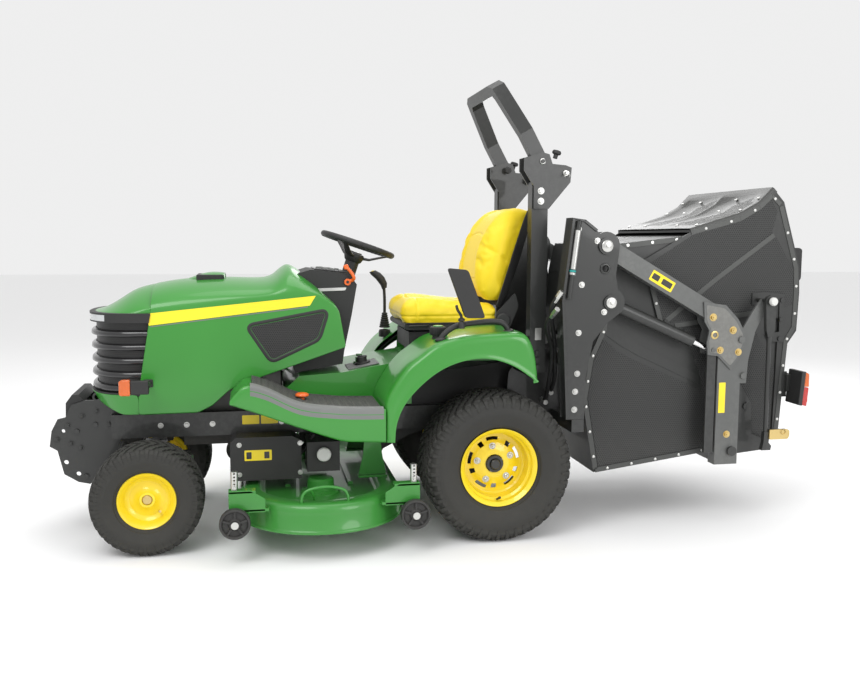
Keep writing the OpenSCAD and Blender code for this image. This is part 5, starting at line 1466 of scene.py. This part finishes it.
def makeSteeringWheel(look):
    turn = Matrix.Rotation(math.radians(-look["tilt"]), 3, "X")
    hub = at(*look["middle"])
    axis = turn @ Vector((0, 0, 1))

    def spot(x, y, z):
        return hub + turn @ Vector((x / 1000, y / 1000, z / 1000))

    bm = bmesh.new()
    n = 120
    ring = []
    for i in range(n + 1):
        t = 2 * math.pi * i / n
        ring.append(spot(look["radius"] * math.cos(t), look["radius"] * math.sin(t), 0))
    addTube(bm, ring, look["grip"], 16, caps=False)
    for k in range(48):
        # finger dimples under the rim
        t = 2 * math.pi * (k + 0.5) / 48
        r = look["radius"]
        addLathe(bm, [(0, -2.4), (5, -2), (7.4, 0), (5, 2), (0, 2.4)],
                 spot(r * math.cos(t), r * math.sin(t), -11.6), axis, 10)
    low = -look["dish"]
    addLathe(bm, [(0, -18), (34, -18), (40, -12), (47, 6), (48, 14), (44, 22), (30, 27), (0, 28)],
             spot(0, 0, low), axis, 40)
    for a in (90, 210, 330):
        c, s = math.cos(math.radians(a)), math.sin(math.radians(a))
        sections = []
        for r, z, w, d in ((30, low + 8, 40, 15), (72, low + 14, 34, 12), (122, -24, 27, 11),
                           (160, -3, 25, 12)):
            sections.append([spot(c * r - s * w / 2 * e, s * r + c * w / 2 * e, z + d / 2 * g) for e,
                             g in ((-1, -0.4), (-1, 0.4), (-0.7, 1), (0.7, 1), (1, 0.4), (1, -0.4), (0.7, -1),
                                   (-0.7, -1))])
        sectionLoft(bm, sections, capEnds=True)
    finishPiece(bm, "steeringWheelRim", "steering_wheel", "blackPlastic", angle=40,
                replaces=("steering_wheel",))
    bm = bmesh.new()
    addLathe(bm, [(30, 22), (33, 22), (33, 29.5), (26, 31), (0, 31.5), (0, 28), (30, 26)], spot(0, 0, low),
             axis, 40, closed=True)
    finishPiece(bm, "steeringWheelBadge", "steering_wheel", "glossBlack")


makeSteeringWheel(wheelLook)

dashLook = {"half": 176, "panel": [(fy(872), 1151), (fy(706), 1169)], "pin": (fy(862), 1112)}


def makeDash(look):
    (y0, z0), (y1, z1) = look["panel"]
    slope = Vector((y1 - y0, z1 - z0)).normalized()
    up = Vector((slope.y, -slope.x)) if -slope.x > 0 else Vector((-slope.y, slope.x))

    def onPanel(x, u, h):
        p = Vector((y0, z0)) + slope * u + up * h
        return at(x, p.x, p.y)

    bm = bmesh.new()
    sectionLoft(bm, [[onPanel(x, u, h) for x, h in ((-wide, 0), (-wide + 3, 5), (wide - 3, 5), (wide, 0))]
                     for u, wide in ((6, 150), (14, 158), (140, 150), (154, 138))], capEnds=True)
    finishPiece(bm, "dashPanel", "chassis", "glossBlack", bevel=1.5)
    bm = bmesh.new()
    for x in (-112, -74, 74, 112):
        for u in (34, 70, 106):
            p = onPanel(x, u, 5)
            addLathe(bm, [(0, 0), (11, 0), (11, 3), (9, 5), (0, 5.6)], p, onPanel(x, u, 30) - p, 20)
    p = onPanel(0, 96, 5)
    addLathe(bm, [(0, 0), (44, 0), (44, 4), (40, 6), (38, 3), (0, 3)], p, onPanel(0, 96, 30) - p, 44)
    finishPiece(bm, "dashButtons", "chassis", "greyPanel")
    bm = bmesh.new()
    addPrism(bm, roundedOutline([(fy(660), 1068), (fy(852), 1074), (fy(858), 1088), (fy(660), 1082)], 5), 179,
             184)
    finishPiece(bm, "dashTrim", "chassis", "zincSteel", both=True, bevel=0.8)
    bm = bmesh.new()
    py, pz = look["pin"]
    addBar(bm, py, pz, 30, 182, 192)
    addTube(bm, [at(*p) for p in smoothPath([(187, py + 10, pz + 4), (193, py + 22, pz + 9),
                                             (205, py + 27, pz + 20), (207, py + 14, pz + 44),
                                             (208, py - 6, pz + 66)], 6)], 15, 16)
    addLathe(bm, [(0, -4), (11, -2), (12, 10), (10, 16), (0, 18)], at(208, py - 6, pz + 62), (0, -0.4, 1), 20)
    finishPiece(bm, "dashLeverGrip", "dash_lever", "orangePlastic", replaces=("dash_lever",))
    bm = bmesh.new()
    addLathe(bm, [(0, 0), (8, 0), (8, 16), (15, 19), (17, 26), (15, 33), (0, 35)], at(-180, fy(760), 1050),
             (-1, 0, 0), 28)
    finishPiece(bm, "dashPullKnob", "chassis", "labelYellow")


makeDash(dashLook)


def makeControls():
    x, y, z = -320, -371, 850
    bm = bmesh.new()
    profile = []
    for k in range(7):
        r = 25 - 2.1 * k
        profile += [(r, 6 + 11 * k), (r + 2.5, 9 + 11 * k), (r + 2.5, 13 + 11 * k), (r - 1, 16 + 11 * k)]
    addLathe(bm, [(0, 6), *profile, (0, 84)], at(x, y, z), (0, 0, 1), 32)
    addTube(bm, [at(*p) for p in smoothPath([(x, y, z + 80), (x, y, z + 150), (x, y - 3, z + 212)], 5)], 15, 14)
    sections = []
    for t, w, d in ((0, 13, 12), (0.25, 17, 17), (0.6, 19, 22), (0.85, 20, 24), (1, 13, 16)):
        cy, cz = lerp(y, y - 62, t * t), lerp(z + 205, z + 292, t)
        sections.append([at(x + w * math.cos(a), cy + d * math.sin(a),
                            cz + 5 * math.sin(a)) for a in [2 * math.pi * i / 20 for i in range(20)]])
    sectionLoft(bm, sections, capEnds=True)
    finishPiece(bm, "liftLeverGrip", "lift_lever", "blackPlastic", replaces=("lift_lever",), angle=50)
    bm = bmesh.new()
    addLathe(bm, [(0, 0), (7, 0), (7, 4), (0, 5)], at(x, y - 60, z + 291), (0, -0.3, 1), 18)
    finishPiece(bm, "liftLeverButton", "lift_lever", "labelYellow")
    bm = bmesh.new()
    ribs = []
    for k in range(32):
        a = 2 * math.pi * k / 32
        for e, r in ((-0.3, 37), (0.3, 37), (0.5, 34.5), (0.5, 34.5)):
            b = a + e * 2 * math.pi / 32
            ribs.append((r * math.cos(b), r * math.sin(b)))
    cap = (430, -248, 892)
    sectionLoft(bm, [[at(cap[0] + px * s, cap[1] + py * s, cap[2] + h) for px, py in ribs] for s,
                     h in ((0.94, 1), (1, 4), (1, 30), (0.95, 35), (0.72, 38))], capEnds=True)
    finishPiece(bm, "fillerCapBody", "filler_cap", "blackPlastic", replaces=("filler_cap",), angle=50)
    bm = bmesh.new()
    addLathe(bm, [(0, 37), (23, 37), (23, 40), (19, 42.5), (0, 43)], at(*cap), (0, 0, 1), 32)
    finishPiece(bm, "fillerCapTop", "filler_cap", "greenPaint")
    bm = bmesh.new()
    place = at(430, fy(640), 640)
    addLathe(bm, [(0, -26), (10, -26), (10, -2), (24, 0), (29, 5), (28, 11), (20, 16), (0, 18)], place,
             (0, 0, 1), 36)
    finishPiece(bm, "footButtonCap", "foot_button", "orangePlastic", replaces=("foot_button",), angle=50)
    # dial and grey plate on the floor cover behind the dash
    bm = bmesh.new()
    addPrism(bm, roundedOutline([(-612, 716), (-472, 743), (-474, 747), (-614, 720)], 1), 40, 208)
    finishPiece(bm, "dialPlate", "chassis", "greyPanel", bevel=1)
    bm = bmesh.new()
    spin = Vector((0, -0.19, 1))
    place = at(120, -540, 734)
    addLathe(bm, [(0, -4), (38, -4), (38, 5), (34, 9), (25, 10), (23, 30), (19, 33), (0, 34)], place, spin, 36)
    addBlock(bm, (114, -562, 760), (126, -520, 771))
    finishPiece(bm, "dialKnob", "chassis", "blackPlastic", bevel=1)


makeControls()

# mirror, roll-over fittings and lamps


def makeMirror():
    outline = roundedOutline([(-238, 1186), (-150, 1178), (-73, 975), (-160, 976)][::-1], 16)
    bm = bmesh.new()
    addPrism(bm, outline, 553, 574)
    addTube(bm, [at(*p) for p in smoothPath([(549, -172, 962), (549, -174, 985), (552, -190, 1010),
                                             (556, -196, 1030)], 5)], 12, 14)
    addLathe(bm, [(0, 0), (14, 0), (14, 10), (9, 14), (0, 14)], at(549, -172, 962), (0, 0, 1), 24)
    finishPiece(bm, "mirrorHousing", "mirror", "blackPlastic", bevel=4, replaces=("mirror",), angle=30)
    bm = bmesh.new()
    addPrism(bm, grown(outline, -9), 551.5, 553.5)
    finishPiece(bm, "mirrorFace", "mirror", "mirrorPaintedReflection")


def makeHoopFittings():
    bm = bmesh.new()
    for y, z, reach in ((243, 1650, 12), (352, 1600, 26)):
        addBar(bm, y, z, 16, 236, 332 + reach)
        addBar(bm, y, z, 26, 332, 337, soft=1)
    addTube(bm, [at(354, 352 + 12 * math.cos(t), 1600 - 12 + 12 * math.sin(t))
                 for t in [math.pi * i / 12 for i in range(-2, 15)]], 3, 8)
    finishPiece(bm, "hoopPins", "chassis", "zincSteel", both=True)
    bm = bmesh.new()
    for y, z in ((243, 1650), (352, 1600)):
        addLathe(bm, [(0, 0), (12, 0), (12, 6), (17, 9), (19, 15), (17, 22), (0, 24)], at(234, y, z),
                 (-1, 0, 0), 6)
    addLathe(bm, [(0, 0), (10, 0), (10, 16), (19, 20), (21, 28), (17, 35), (0, 37)], at(332, 300, 1664),
             (0, 0.3, 1), 24)
    finishPiece(bm, "hoopKnobs", "chassis", "blackPlastic", both=True, angle=45)
    bm = bmesh.new()
    for z in (1475, 1520):
        addBolt(bm, 332, 238, z, 22, 10)
    addPrism(bm, roundedOutline([(225, 850), (255, 850), (255, 905), (225, 905)], 4), 320, 321.2)
    finishPiece(bm, "hoopBolts", "chassis", "zincSteel", both=True)


def makeTailLamps():
    x0 = 415
    pieces = (("tailLampBody", "blackPlastic", [(1436, 548), (1456, 544), (1470, 703), (1449, 704)], 0, 110,
               "lamp_lens"), ("tailLampRed", "redLens", [(1454, 547), (1481, 541), (1489, 628), (1463, 631)], 5,
                              105, "lamp_lens"), ("tailLampOrange", "orangeLens",
                                                  [(1463, 633), (1489.5, 631), (1488, 692), (1468, 702)], 5,
                                                  105, "lamp_lens"))
    for name, finish, corners, a, b, slot in pieces:
        bm = bmesh.new()
        addPrism(bm, roundedOutline(corners, 5), x0 + a, x0 + b)
        if name != "tailLampBody":
            for k in range(9):
                x = lerp(x0 + a + 8, x0 + b - 8, k / 8)
                y = (corners[1][0] + corners[2][0]) / 2
                addBlock(bm, (x - 2.6, y - 1, corners[0][1] + 12), (x + 2.6, y + 3.6, corners[2][1] - 10))
        finishPiece(bm, name, "tailgate", finish, both=True, bevel=2 if name != "tailLampBody" else 4,
                    replaces=("tail_lamps",))
    bm = bmesh.new()
    addPrism(bm, [(1412, 590), (1448, 596), (1448, 680), (1426, 690), (1412, 690)], 415, 421)
    addBlock(bm, (415, 1426, 600), (440, 1450, 680))
    finishPiece(bm, "tailLampBracket", "tailgate", "blackPaint", both=True, bevel=1.5)


makeMirror()
makeHoopFittings()
makeTailLamps()
print("controls, mirror and lamps made")

# collector

collectorLook = {"side": 409, "gate": 414.6, "strip": 22,
                 "swept": 1.4}  # height on the part of the side that the tailgate passes over


def addStrip(bm, path, wide, x0, x1):
    # a flat bar of constant width along a path on the side of the machine
    line = [Vector(p) for p in path]
    left, right = [], []
    for i, p in enumerate(line):
        a, b = line[max(0, i - 1)], line[min(len(line) - 1, i + 1)]
        t = (b - a).normalized()
        n = Vector((-t.y, t.x)) * wide / 2
        left.append(p + n)
        right.append(p - n)
    for i in range(len(line) - 1):
        quad = [left[i], left[i + 1], right[i + 1], right[i]]
        addPrism(bm, [(q.x, q.y) for q in quad], x0, x1)


def alongPath(path, gap):
    line = [Vector(p) for p in path]
    out = []
    carry = gap / 2
    for a, b in zip(line, line[1:]):
        length = (b - a).length
        while carry < length:
            out.append(a.lerp(b, carry / length))
            carry += gap
        carry -= length
    return out


def makeCollector(look):
    side, gate, strip = look["side"], look["gate"], look["strip"]
    front = [(494, 262), (436, 586), (462, 768), (522, 903), (540, 1140), (566, 1272)]
    foot = [(494, 256), (1080, 336)]
    topFront = [(566, 1274), (905, 1312)]
    bm = bmesh.new()
    for path in (front, foot):
        addStrip(bm, path, strip, side, side + 4)
    addStrip(bm, topFront, strip, side, side + look["swept"] - 0.4)
    finishPiece(bm, "boxStrips", "hopper", "stripPaint", both=True, bevel=0.4)
    bm = bmesh.new()
    for path in (front, foot):
        for p in alongPath(path, 118):
            addLathe(bm, [(0, 0), (7, 0), (6.4, 3), (4, 4.4), (0, 5)], at(side + 4, p.x, p.y), (1, 0, 0), 18)
    for p in alongPath(topFront, 118):
        addLathe(bm, [(0, 0), (7, 0), (7, look["swept"] - 0.2), (0, look["swept"])], at(side, p.x, p.y),
                 (1, 0, 0), 18)
    finishPiece(bm, "boxBolts", "hopper", "zincSteel", both=True)
    rear = [(1393, 400), (1410, 640), (1424, 836), (1462, 900), (1466, 1064), (1460, 1176), (1370, 1462)]
    crown = [(935, 1342), (1166, 1402), (1262, 1456), (1322, 1508), (1366, 1470)]
    arch = [(716, 1204), (748, 1080), (792, 930)]
    low = [(860, 915), (1240, 968)]
    spoke = [(815, 937), (1060, 1130), (1340, 1330)]
    bm = bmesh.new()
    for path in (rear, crown, arch, low, spoke):
        addStrip(bm, path, strip, gate, gate + 3)
    finishPiece(bm, "gateStrips", "tailgate", "stripPaint", both=True, bevel=0.8)
    bm = bmesh.new()
    for path in (rear, crown, arch):
        for p in alongPath(path, 128):
            addLathe(bm, [(0, 0), (6.5, 0), (6, 2.4), (4, 3.4), (0, 3.8)], at(gate + 3, p.x, p.y), (1, 0, 0),
                     18)
    finishPiece(bm, "gateBolts", "tailgate", "whiteCap", both=True)
    # side panels of the tipping rear half, perforated between the strips
    bm = bmesh.new()
    addPrism(bm, [(724, 1196), (752, 1090), (798, 945), (1080, 1156), (1330, 1338), (1352, 1440), (1322, 1494),
                  (1262, 1442), (1166, 1388), (935, 1328)], gate - 0.2, gate + 0.8)
    addPrism(bm, [(832, 928), (1240, 982), (1390, 990), (1448, 1000), (1450, 1174), (1352, 1318), (1074, 1120)],
             gate - 0.2, gate + 0.8)
    finishPiece(bm, "gateMeshes", "tailgate", "boxMesh", both=True)
    # lid of the clippings box with a pressed centre
    corners = [(921, 1353), (1166, 1426), (1262, 1479), (1328, 1545)]
    path = [Vector(a).lerp(Vector(b), k / 5) for a, b in zip(corners, corners[1:]) for k in range(5)]
    path.append(Vector(corners[-1]))
    bm = bmesh.new()
    rows = []
    for i, p in enumerate(path):
        a, b = Vector(path[max(0, i - 1)]), Vector(path[min(len(path) - 1, i + 1)])
        t = (b - a).normalized()
        n = Vector((-t.y, t.x))
        end = 0 if 2 < i < len(path) - 3 else 1
        ring = []
        for x, h in ((-417, -26), (-417, -2), (-411, 5), (-340, 6), (-330, 6 if end else 1),
                     (-24, 6 if end else 1), (-14, 6), (14, 6), (24, 6 if end else 1), (330, 6 if end else 1),
                     (340, 6), (411, 5), (417, -2), (417, -26)):
            q = Vector(p) + n * h
            ring.append(at(x, q.x, q.y))
        rows.append(ring)
    sectionLoft(bm, rows, closedRing=False)
    finishPiece(bm, "boxLid", "tailgate", "lidPaint", solid=3, angle=30)
    bm = bmesh.new()
    for p in path[1::5]:
        for x in (-380, -180, 180, 380):
            addLathe(bm, [(0, 0), (9, 0), (8, 3), (0, 4.5)], at(x, p[0], p[1] + 7), (0, -0.4, 1), 16)
    for z in (420, 640, 800):
        for x in (-250, 0, 250):
            addLathe(bm, [(0, 0), (10, 0), (9, 4), (0, 6)], at(x, lerp(1402, 1430, (z - 380) / 450), z),
                     (0, 1, 0), 16)
    finishPiece(bm, "lidBolts", "tailgate", "zincSteel")
    bm = bmesh.new()
    addPrism(bm, roundedOutline([(1478, 1100), (1552, 1112), (1560, 1125), (1560, 1262), (1545, 1270),
                                 (1478, 1270)], 8), -306, 306)
    finishPiece(bm, "rearCover", "tailgate", "blackPlastic", bevel=6)
    # seams and a grab bar across the back of the tipping half
    bm = bmesh.new()
    for x in (-392, -132, 132, 392):
        addPrism(bm, [(1408, 400), (1434, 824), (1478, 884), (1484, 1060), (1484, 1100), (1488, 1100),
                      (1491, 1060), (1485, 882), (1441, 820), (1414, 400)], x - 12, x + 12)
    addTube(bm, [at(*p) for p in smoothPath([(-160, 1422, 560), (-160, 1462, 566), (-120, 1476, 570),
                                             (120, 1476, 570), (160, 1462, 566), (160, 1422, 560)], 5)], 20, 14)
    finishPiece(bm, "gateRibs", "tailgate", "boxPaint", bevel=1.5)


makeCollector(collectorLook)

# lift arms, towers and rams

armDir = Vector((math.cos(math.radians(-29.8)), math.sin(math.radians(-29.8))))


def onArm(u, v):
    p = Vector((482, 1278)) + armDir * u + Vector((-armDir.y, armDir.x)) * v
    return (p.x, p.y)


def ringAt(bm, y, z, inner, outer, x0, x1):
    addLathe(bm, [(inner, 0), (outer, 0), (outer, (x1 - x0) * 0.7), (outer - 3, x1 - x0), (inner, x1 - x0)],
             at(x0, y, z), (1, 0, 0), 40, closed=True)


def makeLiftDetails():
    outer = 510.5
    bm = bmesh.new()
    for y, z, r in ((482, 1278, 26), (507, 1031, 24)):
        addLathe(bm, [(0, 0), (r, 0), (r, 5), (r - 4, 8), (0, 9)], at(outer + 9, y, z), (1, 0, 0), 36)
        addLathe(bm, [(0, 0), (9, 0), (7, 5), (0, 6)], at(outer + 17, y, z), (1, 0, 0), 16)
    for y, z in ((350, 560), (352, 640), (360, 720), (362, 900), (372, 1110), (352, 1350), (478, 990),
                 (440, 1300)):
        addBolt(bm, outer, y, z, 20, 9)
    finishPiece(bm, "towerPins", "chassis", "zincSteel", both=True)
    bm = bmesh.new()
    edge = [(316, 520), (304, 760), (288, 1040), (329, 1394), (380, 1386), (436, 1344)]
    addStrip(bm, edge, 12, outer, outer + 7)
    ringAt(bm, 478, 1180, 15, 24, outer, outer + 6)
    finishPiece(bm, "towerBeads", "chassis", "blackPaint", both=True, bevel=1.5)
    # yellow labels without lettering, with two plain dark marks
    bm = bmesh.new()
    addPrism(bm, roundedOutline([onArm(250, -24), onArm(372, -24), onArm(372, 24), onArm(250, 24)], 5), 500.4,
             501.6)
    finishPiece(bm, "armLabel", "lift_arms", "labelYellow", both=True)
    bm = bmesh.new()
    for a, b in ((258, 294), (310, 362)):
        addPrism(bm, roundedOutline([onArm(a, -13), onArm(b, -13), onArm(b, 13), onArm(a, 13)], 4), 501.5,
                 502.2)
    finishPiece(bm, "armLabelMark", "lift_arms", "blackPaint", both=True)
    bm = bmesh.new()
    addPrism(bm, roundedOutline([(1046, 520), (1078, 520), (1078, 660), (1046, 660)], 3), 500.4, 501.6)
    finishPiece(bm, "postLabel", "lift_arms", "labelYellow", both=True)
    bm = bmesh.new()
    for y, z, d in ((1000, 960, 26), (1100, 900, 26), (1130, 800, 24), (1040, 810, 24), (1092, 420, 24)):
        addBolt(bm, 508.5 if z > 700 else 500.6, y, z, d, 11)
    ringAt(bm, 1010, 880, 11, 19, 508.5, 513)
    finishPiece(bm, "gussetBolts", "lift_arms", "goldZinc", both=True)
    bm = bmesh.new()
    addPrism(bm, roundedOutline([(984, 850), (990, 800), (1032, 795), (1092, 738), (1124, 775), (1152, 842),
                                 (1152, 876), (1115, 940), (1056, 1000), (966, 1016), (972, 940), (994, 904)],
                                10), 508.4, 509.4)
    finishPiece(bm, "gussetFace", "lift_arms", "platePaint", both=True)
    bm = bmesh.new()
    ly, lz = 1268, 1031
    addLathe(bm, [(0, 0), (17, 0), (19, 4), (19, 14), (15, 20), (0, 22)], at(545, ly, lz), (1, 0, 0), 28)
    finishPiece(bm, "latchCaps", "tailgate", "whiteCap", both=True)
    bm = bmesh.new()
    addPrism(bm, roundedOutline([(1284, 396), (1376, 396), (1384, 410), (1384, 436), (1372, 442), (1284, 442)],
                                6), 536, 545)
    addTube(bm, [at(548, 1352 + 11 * math.cos(t), 430 + 11 * math.sin(t))
                 for t in [2 * math.pi * i / 18 for i in range(19)]], 3, 8)
    finishPiece(bm, "latchPlates", "tailgate", "goldZinc", both=True, bevel=1.5)


makeLiftDetails()


def makeHoses():
    routes = (
        ("Upper", [(229, 319, 604), (275, 319, 606), (330, 319, 690), (385, 294, 860), (470, 250, 1000),
                   (522, 278, 1080)]),
        ("Lower", [(229, 293, 560), (268, 293, 562), (318, 293, 640), (372, 290, 800), (450, 236, 930),
                   (540, 252, 1006)]),
    )
    for name, route in routes:
        bm = bmesh.new()
        line = [at(*p) for p in smoothPath(route, 10)]
        addTube(bm, line, 20, 16)
        finishPiece(bm, "hose" + name, "chassis", "hoseRubber", both=True, replaces=("hydraulic_hoses",))
        bm = bmesh.new()
        for a, b in ((line[0], line[1]), (line[-1], line[-2])):
            step = (b - a).normalized()
            addRod(bm, a - step * 0.004, a + step * 0.034, 26, 6)
            addRod(bm, a + step * 0.03, a + step * 0.058, 23, 24)
        finishPiece(bm, "hoseFittings" + name, "chassis", "zincSteel", both=True)
    # silver gas strut with a collar on the tower, and its bands
    bm = bmesh.new()
    a, b = at(520, 352, 1385), at(520, 312, 1050)
    addRod(bm, a.lerp(b, 0.12), a.lerp(b, 0.62), 25, 24)
    addRod(bm, a.lerp(b, 0.66), a.lerp(b, 0.69), 29, 24)
    finishPiece(bm, "strutSleeve", "chassis", "zincSteel", both=True)
    bm = bmesh.new()
    addRod(bm, a.lerp(b, 0.63), a.lerp(b, 0.655), 28, 24)
    finishPiece(bm, "strutBand", "chassis", "tealBand", both=True)


makeHoses()


def makeChassisDetails():
    bm = bmesh.new()
    for d in (388, 470):
        addPrism(bm, roundedOutline([(fy(d), 486), (fy(d) + 74, 486), (fy(d) + 74, 526), (fy(d), 526)], 4),
                 215.2, 216.4)
    addPrism(bm, roundedOutline([(fy(396), 350), (fy(512), 350), (fy(512), 396), (fy(396), 396)], 4), 340.2,
             341.4)
    finishPiece(bm, "frameLabels", "chassis", "labelYellow", both=True)
    bm = bmesh.new()
    for d in (404, 480):
        addPrism(bm, roundedOutline([(fy(d), 358), (fy(d) + 22, 358), (fy(d) + 22, 388), (fy(d), 388)], 3),
                 341.3, 342)
    finishPiece(bm, "frameLabelMarks", "chassis", "blackPaint", both=True)
    bm = bmesh.new()
    for d, z in ((-396, 440), (-350, 500), (-290, 540), (-230, 560), (-180, 500), (-150, 470), (-340, 420),
                 (-300, 400)):
        addBolt(bm, 175, fy(d), z, 20, 9)
    finishPiece(bm, "hitchBolts", "chassis", "blackPaint", both=True)
    bm = bmesh.new()
    for d in (360, 620):
        for z in (290, 420):
            addBolt(bm, 340, fy(d) + 14, z, 16, 7)
    for d in (40, 150, 260, 560, 700, 860):
        addBolt(bm, 215, fy(d), 493, 18, 8)
    finishPiece(bm, "frameBolts", "chassis", "zincSteel", both=True)
    bm = bmesh.new()
    addLathe(bm, [(0, 0), (30, 0), (31, 4), (27, 9), (0, 10)], at(395, fy(733), 378), (1, 0, 0), 36)
    finishPiece(bm, "driveCap", "chassis", "whiteCap")
    bm = bmesh.new()
    for x in (60, 130):
        addTube(bm, [at(*p) for p in smoothPath([(x, fy(420), 470), (x + 70, fy(470), 380),
                                                 (x + 150, fy(600), 330), (x + 190, fy(700), 452)], 8)], 14, 12)
    finishPiece(bm, "underHoses", "chassis", "hoseRubber")


makeChassisDetails()
print("collector, arms and hoses made")
